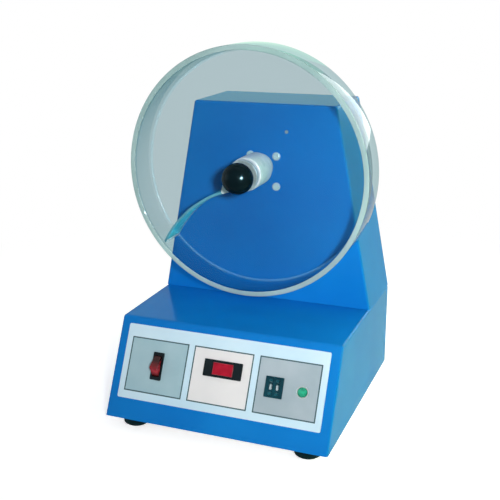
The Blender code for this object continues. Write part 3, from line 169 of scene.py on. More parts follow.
def boxOutline(width, height, radius=0, centre=(0, 0), steps=4):
    corners = [(-1, -1), (1, -1), (1, 1), (-1, 1)]
    points = [(centre[0] + sx * width / 2, centre[1] + sy * height / 2, radius) for sx, sy in corners]
    return roundedPath(points, steps)


def boxMesh(name, low, high, place=None):
    middle = ((low[0] + high[0]) / 2, (low[1] + high[1]) / 2)
    outline = boxOutline(high[0] - low[0], high[1] - low[1], 0, middle)
    return prismMesh(name, outline, low[2], high[2], place)


def rodMesh(name, radius, low, high, segments, place=None, centre=(0, 0)):
    outline = arcPoints(centre, radius, 0, fullTurn * (1 - 1 / segments), segments - 1)
    return prismMesh(name, outline, low, high, place)


def cadMesh(node):  # a merged copy of a node's mesh
    form = bmesh.new()
    form.from_mesh(frame["nodes"][node].data)
    bmesh.ops.remove_doubles(form, verts=form.verts, dist=mergeDistance)
    bmesh.ops.dissolve_limit(form, angle_limit=math.radians(flatAngle), verts=form.verts, edges=form.edges)
    return meshOf(form, node + "_copy")


def addObject(name, data):
    added = bpy.data.objects.new(name, data)
    bpy.context.scene.collection.objects.link(added)
    return added


def applied(mesh, addModifiers):  # the mesh as some modifiers make it
    piece = addObject("work", mesh)
    addModifiers(piece)
    graph = bpy.context.evaluated_depsgraph_get()
    result = bpy.data.meshes.new_from_object(piece.evaluated_get(graph))
    bpy.data.objects.remove(piece)
    return result


def joinedTo(mesh, tools, operation="DIFFERENCE"):
    helpers = [addObject("tool", tool) for tool in tools]

    def addBooleans(piece):
        for helper in helpers:
            modifier = piece.modifiers.new("join", "BOOLEAN")
            modifier.operation = operation
            modifier.object = helper

    result = applied(mesh, addBooleans)
    for helper in helpers:
        bpy.data.objects.remove(helper)
    return shaded(result)


def softened(mesh, width, segments=3, angle=35):  # rounds the edges, and keeps flat faces looking flat
    def addBevel(piece):
        bevel = piece.modifiers.new("edges", "BEVEL")
        bevel.width = width
        bevel.segments = segments
        bevel.limit_method = "ANGLE"
        bevel.angle_limit = math.radians(angle)
        bevel.use_clamp_overlap = True
        bevel.harden_normals = True

    return applied(mesh, addBevel) if width else flattened(mesh)


def flattened(mesh):
    def addNormals(piece):
        normals = piece.modifiers.new("normals", "WEIGHTED_NORMAL")
        normals.keep_sharp = True

    return applied(mesh, addNormals)


def cutAcross(form, point, normal):  # adds edges where a plane crosses the form
    geometry = form.verts[:] + form.edges[:] + form.faces[:]
    bmesh.ops.bisect_plane(form, geom=geometry, plane_co=point, plane_no=normal)


def merged(name, meshes):
    form = bmesh.new()
    for mesh in meshes:
        form.from_mesh(mesh)
    result = bpy.data.meshes.new(name)
    form.to_mesh(result)
    form.free()
    return result


# Node trees for what repeats

def addNode(tree, kind, inputs=None, **settings):
    node = tree.nodes.new(kind)
    for key, value in settings.items():
        setattr(node, key, value)
    for key, value in (inputs or {}).items():
        if isinstance(value, bpy.types.NodeSocket):
            tree.links.new(value, node.inputs[key])
        else:
            node.inputs[key].default_value = value
    return node


def newTree(name, inputs):
    tree = bpy.data.node_groups.new(name, "GeometryNodeTree")
    tree.interface.new_socket("Geometry", in_out="INPUT", socket_type="NodeSocketGeometry")
    for label, kind in inputs.items():
        tree.interface.new_socket(label, in_out="INPUT", socket_type="NodeSocket" + kind)
    tree.interface.new_socket("Geometry", in_out="OUTPUT", socket_type="NodeSocketGeometry")
    return tree, tree.nodes.new("NodeGroupInput").outputs


def endTree(tree, points, given, turn):  # one copy of the shape on each point, as one plain mesh
    shape = addNode(tree, "GeometryNodeObjectInfo", {"Object": given["Shape"]})
    euler = addNode(tree, "ShaderNodeCombineXYZ", {"Z": turn})
    rotation = addNode(tree, "FunctionNodeEulerToRotation", {"Euler": euler.outputs[0]})
    copies = addNode(
        tree, "GeometryNodeInstanceOnPoints",
        {"Points": points, "Instance": shape.outputs["Geometry"], "Rotation": rotation.outputs[0]},
    )
    real = addNode(tree, "GeometryNodeRealizeInstances", {"Geometry": copies.outputs[0]})
    coloured = addNode(
        tree, "GeometryNodeSetMaterial", {"Geometry": real.outputs[0], "Material": given["Finish"]}
    )
    addNode(tree, "NodeGroupOutput", {"Geometry": coloured.outputs[0]})
    return tree


def makeGridTree():
    tree, given = newTree("gridOfShapes", {
        "Shape": "Object", "Columns": "Int", "Rows": "Int", "Width": "Float", "Height": "Float",
        "Finish": "Material",
    })
    grid = addNode(tree, "GeometryNodeMeshGrid", {
        "Size X": given["Width"], "Size Y": given["Height"],
        "Vertices X": given["Columns"], "Vertices Y": given["Rows"],
    })
    return endTree(tree, grid.outputs["Mesh"], given, 0.0)


def makePointTree():
    tree, given = newTree("shapesOnPoints", {
        "Shape": "Object", "Turn": "Float", "Seed": "Int", "Finish": "Material",
    })
    turn = addNode(tree, "FunctionNodeRandomValue", {3: given["Turn"], 8: given["Seed"]})
    return endTree(tree, given["Geometry"], given, turn.outputs[1])


gridTree = makeGridTree()
pointTree = makePointTree()


def repeated(tree, shape, finish, points=(), **values):  # the copies as one mesh
    helper = addObject("shape", shape)
    seedMesh = bpy.data.meshes.new("points")
    seedMesh.from_pydata(list(points), [], [])
    given = {"Shape": helper, "Finish": materials[finish], **values}

    def addNodes(piece):
        modifier = piece.modifiers.new(tree.name, "NODES")
        modifier.node_group = tree
        for socket in tree.interface.items_tree:
            if socket.in_out == "INPUT" and socket.name in given:
                modifier[socket.identifier] = given[socket.name]

    result = applied(seedMesh, addNodes)
    bpy.data.objects.remove(helper)
    return result


# Finishes: two tones in soft patches, a roughness range, and a grain that roughness and bump share

film = {"slot": "label_film", "roughness": (0.38, 0.50), "grain": 2600, "bump": (0.12, 0.03 * mm)}
ink = {**film, "patch": 60, "roughness": (0.35, 0.45), "bump": (0.10, 0.02 * mm)}
blackMoulding = {
    "slot": "black_plastic", "patch": 110, "roughness": (0.28, 0.40), "grain": 1800,
    "bump": (0.15, 0.04 * mm), "sockets": {"Specular IOR Level": 0.14},
}
whiteMoulding = {
    "slot": "white_plastic", "patch": 60, "roughness": (0.35, 0.45), "grain": 1600,
    "bump": (0.10, 0.03 * mm),
}
redMoulding = {"slot": "red_plastic", "grain": 1500, "bump": (0.05, 0.02 * mm)}
polish = {"slot": "steel", "patch": 160, "grain": 1500, "bump": (0.05, 0.02 * mm)}
finishes = {
    "bluePaint": {
        "slot": "blue_paint", "tones": ((0.003, 0.160, 0.54), (0.006, 0.215, 0.62)), "patch": 6,
        "roughness": (0.15, 0.22), "grain": 420, "bump": (0.03, 0.05 * mm),
        "sockets": {"Coat Weight": 0.04, "Coat Roughness": 0.05, "Specular IOR Level": 0.05},
    },
    "labelFilm": {
        **film, "tones": ((0.55, 0.76, 0.89), (0.63, 0.82, 0.93)), "patch": 14, "roughness": (0.36, 0.48),
    },
    "fieldTeal": {**film, "tones": ((0.31, 0.49, 0.56), (0.39, 0.56, 0.62)), "patch": 20},
    "fieldWhite": {**film, "tones": ((0.76, 0.76, 0.77), (0.82, 0.81, 0.81)), "patch": 20},
    "fieldGrey": {**film, "tones": ((0.33, 0.42, 0.47), (0.42, 0.50, 0.55)), "patch": 20},
    "darkInk": {**ink, "tones": ((0.026, 0.078, 0.098), (0.042, 0.110, 0.130))},
    "numeralInk": {**ink, "tones": ((0.10, 0.14, 0.16), (0.14, 0.19, 0.21))},
    "blackPlastic": {
        **blackMoulding, "tones": ((0.003, 0.007, 0.010), (0.006, 0.014, 0.018)), "patch": 40,
        "roughness": (0.30, 0.42),
    },
    "tealPlastic": {**blackMoulding, "tones": ((0.003, 0.030, 0.045), (0.004, 0.058, 0.080))},
    "tealButton": {
        **blackMoulding, "tones": ((0.007, 0.065, 0.092), (0.012, 0.100, 0.130)),
        "sockets": {"Specular IOR Level": 0.2},
    },
    "glossBlack": {
        "slot": "gloss_black", "tones": ((0.001, 0.004, 0.006), (0.002, 0.008, 0.011)), "patch": 50,
        "roughness": (0.17, 0.23), "grain": 300, "bump": (0.03, 0.02 * mm),
        # painted reflection: the teal Specular Tint colours the knob's reflections of the white studio teal
        "sockets": {"Specular IOR Level": 0.09, "Specular Tint": (0.45, 0.85, 0.95, 1.0)},
    },
    "windowEdge": {
        **redMoulding, "tones": ((0.20, 0.035, 0.045), (0.27, 0.055, 0.065)), "patch": 110,
        "roughness": (0.30, 0.40),
    },
    "segmentRed": {
        **redMoulding, "tones": ((0.75, 0.10, 0.12), (0.85, 0.14, 0.16)), "patch": 200,
        "roughness": (0.25, 0.35),
    },
    "whitePlastic": {**whiteMoulding, "tones": ((0.72, 0.74, 0.72), (0.80, 0.81, 0.79))},
    "wheelPlastic": {**whiteMoulding, "tones": ((0.60, 0.74, 0.79), (0.70, 0.82, 0.86))},
    "greyPlastic": {**whiteMoulding, "tones": ((0.30, 0.36, 0.40), (0.38, 0.44, 0.47))},
    "greenLens": {
        "slot": "green_lens", "tones": ((0.004, 0.075, 0.048), (0.011, 0.48, 0.27)), "patch": 190,
        "roughness": (0.06, 0.12), "grain": 900, "bump": (0.10, 0.05 * mm),
        "sockets": {"Coat Weight": 0.4, "Coat Roughness": 0.03, "Specular IOR Level": 0.25},
    },
    # painted shade: the washer's aluminium is darker and greener than the hub's, for the shade between knob
    # and hub
    "washerAluminium": {
        "slot": "satin_aluminium", "tones": ((0.28, 0.40, 0.42), (0.50, 0.62, 0.64)), "patch": 160,
        "roughness": (0.26, 0.40), "grain": 1500, "bump": (0.15, 0.03 * mm), "metallic": 0.7,
    },
    "steel": {
        "slot": "steel", "tones": ((0.56, 0.57, 0.58), (0.68, 0.69, 0.70)), "patch": 120,
        "roughness": (0.18, 0.32), "grain": 1500, "bump": (0.10, 0.03 * mm), "metallic": 1.0,
    },
    "chrome": {
        **polish, "tones": ((0.66, 0.78, 0.80), (0.76, 0.86, 0.87)), "roughness": (0.10, 0.18),
        "metallic": 1.0,
    },
    "nickel": {
        **polish, "tones": ((0.70, 0.84, 0.86), (0.86, 0.95, 0.96)), "roughness": (0.16, 0.26),
        "metallic": 0.35,
    },
    "zincPlate": {
        "slot": "zinc_plate", "tones": ((0.44, 0.46, 0.46), (0.60, 0.61, 0.58)), "patch": 60,
        "roughness": (0.35, 0.52), "grain": 700, "bump": (0.15, 0.05 * mm), "metallic": 1.0,
    },
    "bronze": {
        "slot": "bronze", "tones": ((0.44, 0.29, 0.13), (0.60, 0.42, 0.20)), "patch": 200,
        "roughness": (0.35, 0.50), "grain": 2400, "bump": (0.25, 0.05 * mm), "metallic": 1.0,
    },
    "blackRubber": {
        "slot": "black_rubber", "tones": ((0.002, 0.013, 0.016), (0.004, 0.024, 0.029)), "patch": 60,
        "roughness": (0.55, 0.75), "grain": 1100, "bump": (0.35, 0.10 * mm),
        "sockets": {"Specular IOR Level": 0.08},
    },
    "circuitBoard": {
        "slot": "circuit_board", "tones": ((0.010, 0.12, 0.045), (0.03, 0.24, 0.09)), "patch": 240,
        "roughness": (0.25, 0.40), "grain": 1200, "bump": (0.20, 0.05 * mm),
    },
    "copperWinding": {
        "slot": "copper_winding", "tones": ((0.42, 0.14, 0.05), (0.62, 0.26, 0.10)), "patch": 220,
        "roughness": (0.28, 0.42), "grain": 900, "bump": (0.15, 0.05 * mm), "metallic": 1.0,
    },
    "coreIron": {
        "slot": "core_iron", "tones": ((0.13, 0.13, 0.15), (0.23, 0.22, 0.22)), "patch": 90,
        "roughness": (0.45, 0.62), "grain": 1000, "bump": (0.25, 0.05 * mm), "metallic": 1.0,
    },
}
materials = {}


def startMaterial(name):
    material = bpy.data.materials.new(name)
    material.use_nodes = True
    materials[name] = material
    tree = material.node_tree
    coordinates = addNode(tree, "ShaderNodeTexCoord").outputs["Object"]
    return tree, tree.nodes["Principled BSDF"], coordinates


def setSockets(shader, values):
    for socket, value in values.items():
        shader.inputs[socket].default_value = value


def addMath(tree, operation, first, second):
    return addNode(tree, "ShaderNodeMath", {0: first, 1: second}, operation=operation).outputs[0]


def addRange(tree, value, first, last, low=0.0, high=1.0):  # a value from first to last becomes low to high
    return addNode(tree, "ShaderNodeMapRange", {0: value, 1: first, 2: last, 3: low, 4: high}).outputs[0]


def addMix(tree, share, first, second):  # a blend of two colours
    return addNode(tree, "ShaderNodeMix", {0: share, 6: first, 7: second}, data_type="RGBA").outputs[2]


noise = {"middle": (0.3, 0.7), "patchDetail": 4.0, "grainDetail": 3.0}


def addNoise(tree, coordinates, scale, detail):
    given = {"Vector": coordinates, "Scale": scale, "Detail": detail}
    return addNode(tree, "ShaderNodeTexNoise", given).outputs["Fac"]


def addPatches(tree, coordinates, patch, low=0.0, high=1.0):  # soft patches of a value from low to high
    patches = addNoise(tree, coordinates, patch, noise["patchDetail"])
    return addRange(tree, patches, *noise["middle"], low, high)


def linkTones(tree, shader, coordinates, tones, patch):
    darker, lighter = ((*tone, 1.0) for tone in tones)
    tone = addMix(tree, addPatches(tree, coordinates, patch), darker, lighter)
    tree.links.new(tone, shader.inputs["Base Color"])


def linkGrain(tree, shader, coordinates, grain, roughness, bump):
    height = addNoise(tree, coordinates, grain, noise["grainDetail"])
    tree.links.new(addRange(tree, height, *noise["middle"], *roughness), shader.inputs["Roughness"])
    strength, distance = bump
    relief = addNode(tree, "ShaderNodeBump", {"Strength": strength, "Distance": distance, "Height": height})
    tree.links.new(relief.outputs[0], shader.inputs["Normal"])


def makePlainFinish(name, finish):
    tree, shader, coordinates = startMaterial(name)
    linkTones(tree, shader, coordinates, finish["tones"], finish["patch"])
    linkGrain(tree, shader, coordinates, finish["grain"], finish["roughness"], finish["bump"])
    setSockets(shader, {"Metallic": finish.get("metallic", 0.0), **finish.get("sockets", {})})
    return tree, shader, coordinates


turnedAluminium = {
    "slot": "satin_aluminium", "tones": ((0.54, 0.60, 0.66), (0.80, 0.78, 0.82)), "patch": 90,
    "roughness": (0.34, 0.48), "grooves": 2600, "bump": (0.25, 0.04 * mm), "metallic": 0.25,
}


def makeTurnedAluminium():  # tool marks run round the drum's axis
    finish = turnedAluminium
    finishes["aluminium"] = finish
    tree, shader, coordinates = startMaterial("aluminium")
    linkTones(tree, shader, coordinates, finish["tones"], finish["patch"])
    centred = addNode(tree, "ShaderNodeMapping", {"Vector": coordinates, "Location": (0, 0, -axisHeight)})
    parts = addNode(tree, "ShaderNodeSeparateXYZ", {0: centred.outputs[0]})
    flat = addNode(tree, "ShaderNodeCombineXYZ", {"X": parts.outputs["X"], "Y": parts.outputs["Z"]})
    radius = addNode(tree, "ShaderNodeVectorMath", {0: flat.outputs[0]}, operation="LENGTH")
    groove = addNode(tree, "ShaderNodeCombineXYZ", {"X": radius.outputs["Value"], "Y": parts.outputs["Y"]})
    linkGrain(tree, shader, groove.outputs[0], finish["grooves"], finish["roughness"], finish["bump"])
    setSockets(shader, {"Metallic": finish["metallic"]})


rockerRed = {
    "slot": "red_plastic", "tones": ((0.42, 0.018, 0.028), (0.62, 0.042, 0.060)), "patch": 90,
    "roughness": (0.18, 0.28), "grain": 1500, "bump": (0.08, 0.02 * mm), "dark": (0.035, 0.006, 0.006),
    "ridge": 0.42, "above": 11 * mm, "below": 8 * mm, "sockets": {"Specular IOR Level": 0.3},
}


def makeRockerRed():  # a red rocker with painted shade: its red darkens away from the ridge, which is painted as the lit part
    finish = rockerRed
    finishes["rockerRed"] = finish
    tree, shader, coordinates = makePlainFinish("rockerRed", finish)
    lit = shader.inputs["Base Color"].links[0].from_socket
    low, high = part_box("switch_rocker")
    ridge = low.z + (high.z - low.z) * finish["ridge"]
    height = addNode(tree, "ShaderNodeSeparateXYZ", {0: coordinates}).outputs["Z"]
    upper = addRange(tree, height, ridge, ridge + finish["above"])
    # painted shade: above and below the ridge the red darkens towards a shade colour
    lower = addRange(tree, height, ridge, ridge - finish["below"])
    paintedShadeShare = addMath(tree, "MAXIMUM", upper, lower)
    tree.links.new(addMix(tree, paintedShadeShare, lit, (*finish["dark"], 1.0)), shader.inputs["Base Color"])


acrylicSurface = {
    "slot": "clear_acrylic", "mirror": (0.003, 0.9), "mirrorPower": 5.0, "tintPower": 2.5,
    "gloss": (0.95, 0.97, 0.98), "glossRoughness": 0.03, "cloudRoughness": 0.25, "specular": 0.5,
}
acrylics = {
    # clear and edge are the tints straight through and at a glancing angle, haze is the share that is cloudy
    "clearAcrylic": {
        "clear": (0.885, 0.938, 0.95), "edge": (0.12, 0.45, 0.48),
        "haze": (0.001, 0.005), "cloud": (0.55, 0.68, 0.74), "patch": 9,
    },
    "rimAcrylic": {
        "clear": (0.22, 0.36, 0.36), "edge": (0.20, 0.34, 0.36),
        "haze": (0.45, 0.65), "cloud": (0.56, 0.78, 0.77), "patch": 16,
    },
    "seamAcrylic": {
        "clear": (0.86, 0.94, 0.95), "edge": (0.30, 0.62, 0.68),
        "haze": (0.10, 0.24), "cloud": (0.40, 0.80, 0.95), "patch": 40,
    },
    "vaneAcrylic": {
        "clear": (0.60, 0.98, 1.0), "edge": (0.30, 0.76, 0.88),
        "haze": (0.32, 0.55), "cloud": (0.06, 0.76, 0.97), "patch": 22,
    },
    "vaneEdge": {
        "clear": (0.45, 0.80, 0.90), "edge": (0.30, 0.60, 0.72),
        "haze": (0.45, 0.65), "cloud": (0.20, 0.62, 0.78), "patch": 30,
    },
    "gluedAcrylic": {
        "clear": (0.70, 0.86, 0.90), "edge": (0.60, 0.72, 0.78),
        "haze": (0.60, 0.90), "cloud": (0.66, 0.78, 0.82), "patch": 60,
    },
    "sawnAcrylic": {
        "clear": (0.80, 0.88, 0.90), "edge": (0.70, 0.80, 0.84),
        "haze": (0.80, 0.96), "cloud": (0.90, 0.94, 0.95), "patch": 60,
    },
    "redWindow": {
        "slot": "red_plastic", "clear": (0.62, 0.03, 0.05), "edge": (0.45, 0.02, 0.03),
        "haze": (0.45, 0.88), "cloud": (0.56, 0.014, 0.042), "patch": 75, "specular": 0.15,
    },
}


def makeAcrylic(name, finish):  # clear straight through, a mirror at a glancing angle, and a little cloudy
    finish = {**acrylicSurface, **finish}
    finishes[name] = finish
    tree, cloudy, coordinates = startMaterial(name)
    facing = addNode(tree, "ShaderNodeLayerWeight", {"Blend": 0.5}).outputs["Facing"]
    steep = addMath(tree, "POWER", facing, finish["mirrorPower"])
    mirror = addRange(tree, steep, 0.0, 1.0, *finish["mirror"])
    deep = addMath(tree, "POWER", facing, finish["tintPower"])
    tint = addMix(tree, deep, (*finish["clear"], 1.0), (*finish["edge"], 1.0))
    shadow = addNode(tree, "ShaderNodeLightPath").outputs["Is Shadow Ray"]  # light goes in undimmed
    passed = addMix(tree, shadow, tint, (1, 1, 1, 1))
    through = addNode(tree, "ShaderNodeBsdfTransparent", {"Color": passed}).outputs[0]
    gloss = addNode(tree, "ShaderNodeBsdfPrincipled", {
        "Base Color": (*finish["gloss"], 1.0), "Metallic": 1.0, "Roughness": finish["glossRoughness"],
    }).outputs[0]
    clear = addNode(tree, "ShaderNodeMixShader", {0: mirror, 1: through, 2: gloss}).outputs[0]
    haze = addPatches(tree, coordinates, finish["patch"], *finish["haze"])
    setSockets(cloudy, {
        "Base Color": (*finish["cloud"], 1.0), "Roughness": finish["cloudRoughness"],
        "Specular IOR Level": finish["specular"],
    })
    whole = addNode(tree, "ShaderNodeMixShader", {0: haze, 1: clear, 2: cloudy.outputs[0]})
    tree.links.new(whole.outputs[0], tree.nodes["Material Output"].inputs["Surface"])


for finishName, finishValues in finishes.items():
    makePlainFinish(finishName, finishValues)
makeTurnedAluminium()
makeRockerRed()
for finishName, finishValues in acrylics.items():
    makeAcrylic(finishName, finishValues)
print("finishes made:", len(materials))


def addPiece(name, mesh, finish, nodes=(), body=None, choose=None):  # choose gives a face's finish by number
    names = [finish] if isinstance(finish, str) else finish
    mesh.materials.clear()
    for each in names:
        mesh.materials.append(materials[each])
    if choose:
        for face in mesh.polygons:
            face.material_index = choose(face.center, face.normal)
    piece = addObject(name, mesh)
    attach(piece, body or bodyOf[nodes[0]])
    if nodes:
        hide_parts(*nodes)
    return piece


def addRounded(name, node, finish, width, segments=3, angle=35):  # a CAD part with its edges rounded
    return addPiece(name, softened(cadMesh(node), width, segments, angle), finish, [node])


def addTurned(name, node, finish, profile, segments, place=drumPlace, angle=30):
    return addPiece(name, turnedMesh(name, profile, segments, place, angle), finish, [node])


# Screws: a domed head with a cross recess, its seat at height nought

# the recess's length and width by the head's radius, its depth and the dome's edge by the head's height
screwShares = {"length": 1.15, "width": 0.24, "depth": 0.55, "dome": 0.7}


def screwMesh(radius, height, segments=28):
    head = turnedMesh("screw_head", domePath(radius, height, screwShares["dome"]), segments)
    length, width = radius * screwShares["length"], radius * screwShares["width"]
    deep = height * screwShares["depth"]
    bars = [
        boxMesh("recess", (-a / 2, -b / 2, height - deep), (a / 2, b / 2, height + overrun))
        for a, b in ((length, width), (width, length))
    ]
    return joinedTo(head, bars)


def addScrews(name, points, screw, place, seed):  # screw is the head's radius and height
    mesh = repeated(pointTree, screwMesh(*screw), "steel", points, Turn=fullTurn, Seed=seed)
    mesh.transform(place)
    return addPiece(name, mesh, "steel", body="housing")


# Base and tower, folded from sheet

sheetMetal = {"thickness": 1.5 * mm, "flange": 12 * mm, "bend": 3 * mm, "bendSteps": 6, "seat": 0.3 * mm}


def bentPrism(name, outline, low, high, place, fromHeight):  # every edge above a height is a bend
    form = prismForm(outline, low, high)
    edges = [e for e in form.edges if max(v.co.y for v in e.verts) > fromHeight]
    bmesh.ops.bevel(
        form, geom=edges, offset=sheetMetal["bend"], segments=sheetMetal["bendSteps"], profile=0.5,
        affect="EDGES",
    )
    return meshOf(form, name, place)


def baseOutline(inset, low, high):  # the side view, as (y, z)
    lean = panelSlope["run"] / panelSlope["height"]
    front = baseLow.y + inset * math.hypot(1, lean)
    back = baseHigh.y - inset
    return [
        (front + (low - baseLow.z) * lean, low),
        (back, low),
        (back, high),
        (front + (high - baseLow.z) * lean, high),
    ]


def basePrism(inset, low, high):
    half = baseHigh.x - inset
    return prismMesh("base_tool", baseOutline(inset, low, high), -half, half, sidePlace)


holeSegments = 40
deviceHoles = {
    # how far the hole stays inside the bezel, at the sides and at the ends
    "switch_body": (0.8 * mm, 2.3 * mm), "display_bezel": (1.7 * mm, 1.7 * mm),
    "setter_body": (0.5 * mm, 0.5 * mm), "lamp_bezel": (1.0 * mm, 1.0 * mm),
}


def panelCutters():  # through the label plate and the sheet behind it
    tools = []
    for node, (side, end) in deviceHoles.items():
        low, high = localBox(node, panelPlace)
        reach = 2 * overrun
        if node == "lamp_bezel":
            radius = (high.x - low.x) / 2 - side
            centre = centreOf(node, panelPlace)
            tools.append(rodMesh("lamp_hole", radius, -reach, reach, holeSegments, panelPlace, centre))
            continue
        first = (low.x + side, low.y + end, -reach)
        last = (high.x - side, high.y - end, reach)
        tools.append(boxMesh("device_hole", first, last, panelPlace))
    return tools


rearHoles = {"inlet": (13.8 * mm, 10.1 * mm), "fuse": 6.8 * mm}  # half the width and height, and a radius


def rearCutters():
    x, y = centreOf("mains_inlet", rearPlace)
    half, tall = rearHoles["inlet"]
    inlet = boxMesh("inlet_hole", (x - half, y - tall, -overrun), (x + half, y + tall, overrun), rearPlace)
    centre = centreOf("fuse_holder", rearPlace)
    fuse = rodMesh("fuse_hole", rearHoles["fuse"], -overrun, overrun, holeSegments, rearPlace, centre)
    return [inlet, fuse]


def makeBase():
    sheet, flange, seat = sheetMetal["thickness"], sheetMetal["flange"], sheetMetal["seat"]
    half = baseHigh.x
    outer = baseOutline(0, baseLow.z, baseHigh.z)
    shell = bentPrism("baseShell", outer, -half, half, sidePlace, baseLow.z + sheet)
    ledge = baseLow.z + sheet + seat
    tools = [
        basePrism(sheet, ledge + sheet, baseHigh.z - sheet),
        basePrism(sheet, baseLow.z - overrun, ledge),
        basePrism(sheet + flange, baseLow.z - overrun, ledge + sheet + overrun),
    ]
    shell = joinedTo(shell, tools + panelCutters() + rearCutters())
    addPiece("baseShell", flattened(shell), "bluePaint", ["base_housing"])


basePlate = {"edge": 0.3 * mm, "margin": 7 * mm, "screw": (3 * mm, 1.8 * mm)}


def makeBasePlate():
    addRounded("basePlate", "base_plate", "zincPlate", basePlate["edge"], segments=2)
    low, high = localBox("base_plate", underPlace)
    margin = basePlate["margin"]
    rows = (low.y + margin, high.y - margin)
    points = [(x, y, 0) for x in (low.x + margin, 0, high.x - margin) for y in rows]
    addScrews("basePlateScrews", points, basePlate["screw"], underPlace, seed=3)


tower = {
    "topWidth": 185 * mm, "bush": 10.3 * mm, "bushSegments": 48,
    "plug": (2.2 * mm, 0.9 * mm), "plugDome": 0.8, "plugLift": 0.05 * mm, "plugSegments": 28,
    "plugPlace": (29.9 * mm, 341.3 * mm),
}


def towerOutline(inset, low):  # the front view, as (x, z)
    lowest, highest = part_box("tower_housing")
    topHalf = tower["topWidth"] / 2
    rise = highest.z - lowest.z
    lean = (highest.x - topHalf) / rise
    sideways = inset * math.hypot(1, lean)
    top = highest.z - inset

    def half(height):
        return highest.x - lean * (height - lowest.z) - sideways

    return [(-half(low), low), (half(low), low), (half(top), top), (-half(top), top)]


def makeTower():
    sheet, flange, seat = sheetMetal["thickness"], sheetMetal["flange"], sheetMetal["seat"]
    lowest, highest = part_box("tower_housing")
    depth = highest.y - lowest.y
    outer = towerOutline(0, lowest.z)
    shell = bentPrism("towerShell", outer, -depth, 0, facePlace, lowest.z + sheet)
    floor = lowest.z + sheet
    back = -(depth - 2 * sheet - seat)
    half = highest.x - 2 * (sheet + flange)
    behind = -depth - overrun
    inside = towerOutline(sheet + flange, floor + flange)
    first = (-half, lowest.z - overrun, back + flange)
    last = (half, lowest.z + overrun, -sheet - flange)
    tools = [
        prismMesh("cavity", towerOutline(sheet, floor), back, -sheet, facePlace),
        prismMesh("coverSeat", towerOutline(sheet, floor), behind, back - sheet, facePlace),
        prismMesh("coverHole", inside, behind, back + overrun, facePlace),
        boxMesh("floorHole", first, last, facePlace),
        rodMesh("bushHole", tower["bush"], -overrun, overrun, tower["bushSegments"], drumPlace),
    ]
    shell = joinedTo(shell, tools)
    addPiece("towerShell", flattened(shell), "bluePaint", ["tower_housing"])
    cap = turnedMesh("plug", domePath(*tower["plug"], tower["plugDome"]), tower["plugSegments"])
    cap.transform(facePlace @ Matrix.Translation((*tower["plugPlace"], tower["plugLift"])))
    addPiece("facePlug", cap, "greyPlastic", body="housing")


vents = {
    "columns": 2, "rows": 8, "spacing": 64 * mm, "pitch": 11 * mm, "length": 44 * mm, "height": 4 * mm,
    "round": 0.49, "fromTop": 36 * mm,
}
rearCover = {"edge": 0.3 * mm, "screw": (3.2 * mm, 1.9 * mm), "inset": 8 * mm, "rows": 3}


def makeRearCover():
    low, high = localBox("rear_cover", rearPlace)
    seat = sheetMetal["thickness"] + sheetMetal["seat"]
    plate = prismMesh("rearCover", towerOutline(seat, low.y), low.z, high.z, rearPlace)
    outline = boxOutline(vents["length"], vents["height"], vents["height"] * vents["round"], steps=6)
    height = (vents["rows"] - 1) * vents["pitch"]
    holes = repeated(
        gridTree, prismMesh("slot", outline, -overrun, overrun), "steel",
        Columns=vents["columns"], Rows=vents["rows"], Width=vents["spacing"], Height=height,
    )
    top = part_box("tower_housing")[1].z - vents["fromTop"]
    holes.transform(rearPlace @ Matrix.Translation((0, top - height / 2, 0)))
    plate = softened(joinedTo(plate, [holes]), rearCover["edge"], segments=2)
    addPiece("rearCover", plate, "bluePaint", ["rear_cover"])
    points = []
    inset, rows = rearCover["inset"], rearCover["rows"]
    for i in range(rows):
        z = low.y + inset + i * (high.y - low.y - 2 * inset) / (rows - 1)
        half = max(x for x, _ in towerOutline(seat + inset, z))
        points += [(-half, z, high.z), (half, z, high.z)]
    addScrews("rearCoverScrews", points, rearCover["screw"], rearPlace, seed=5)


feet = {
    "bottom": 14.5 * mm, "edge": 1.6 * mm, "step": 1.2 * mm, "topEdge": 0.3 * mm, "bottomRise": 2.4 * mm,
    "bottomEdge": 0.8 * mm, "segments": 72,
    "socket": 5.5 * mm, "socketEdge": 0.5 * mm, "socketDepth": 6 * mm, "hole": 2.5 * mm,
    "screw": (4.4 * mm, 2 * mm),
}


def makeFeet():
    bottom, edge, step = feet["bottom"], feet["edge"], feet["step"]
    socket, depth, hole = feet["socket"], feet["socketDepth"], feet["hole"]
    points = []
    for node in ("foot_front_left", "foot_front_right", "foot_rear_left", "foot_rear_right"):
        low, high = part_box(node)
        top = (high.x - low.x) / 2
        profile = roundedPath([
            (top - step, high.z, feet["topEdge"]), (top, high.z - step, edge),
            (bottom + edge, feet["bottomRise"], edge), (bottom - edge, 0, feet["bottomEdge"]),
            (socket, 0, feet["socketEdge"]), (socket, depth, 0), (hole, depth, 0), (hole, high.z, 0),
        ], steps=6)
        centre = Vector(((low.x + high.x) / 2, (low.y + high.y) / 2, 0))
        place = Matrix.Translation(centre)
        addTurned("rubber_" + node, node, "blackRubber", profile, feet["segments"], place)
        points.append((centre.x, -centre.y, baseLow.z - depth))
    addScrews("footScrews", points, feet["screw"], underPlace, seed=9)


makeBase()
makeBasePlate()
makeTower()
makeRearCover()
makeFeet()
print("base, tower, cover and feet made")


# Drum: body, vane and cover of clear acrylic

drumSizes = {
    # innerEdge is a share of edge, and glue shows on faces that lean forward or back by more than facing
    "wall": 6 * mm, "back": 5 * mm, "bore": 6.3 * mm, "coverBore": 5.3 * mm, "edge": 0.9 * mm,
    "innerEdge": 0.6, "glue": 2.4 * mm, "facing": 0.1, "segments": 180,
}


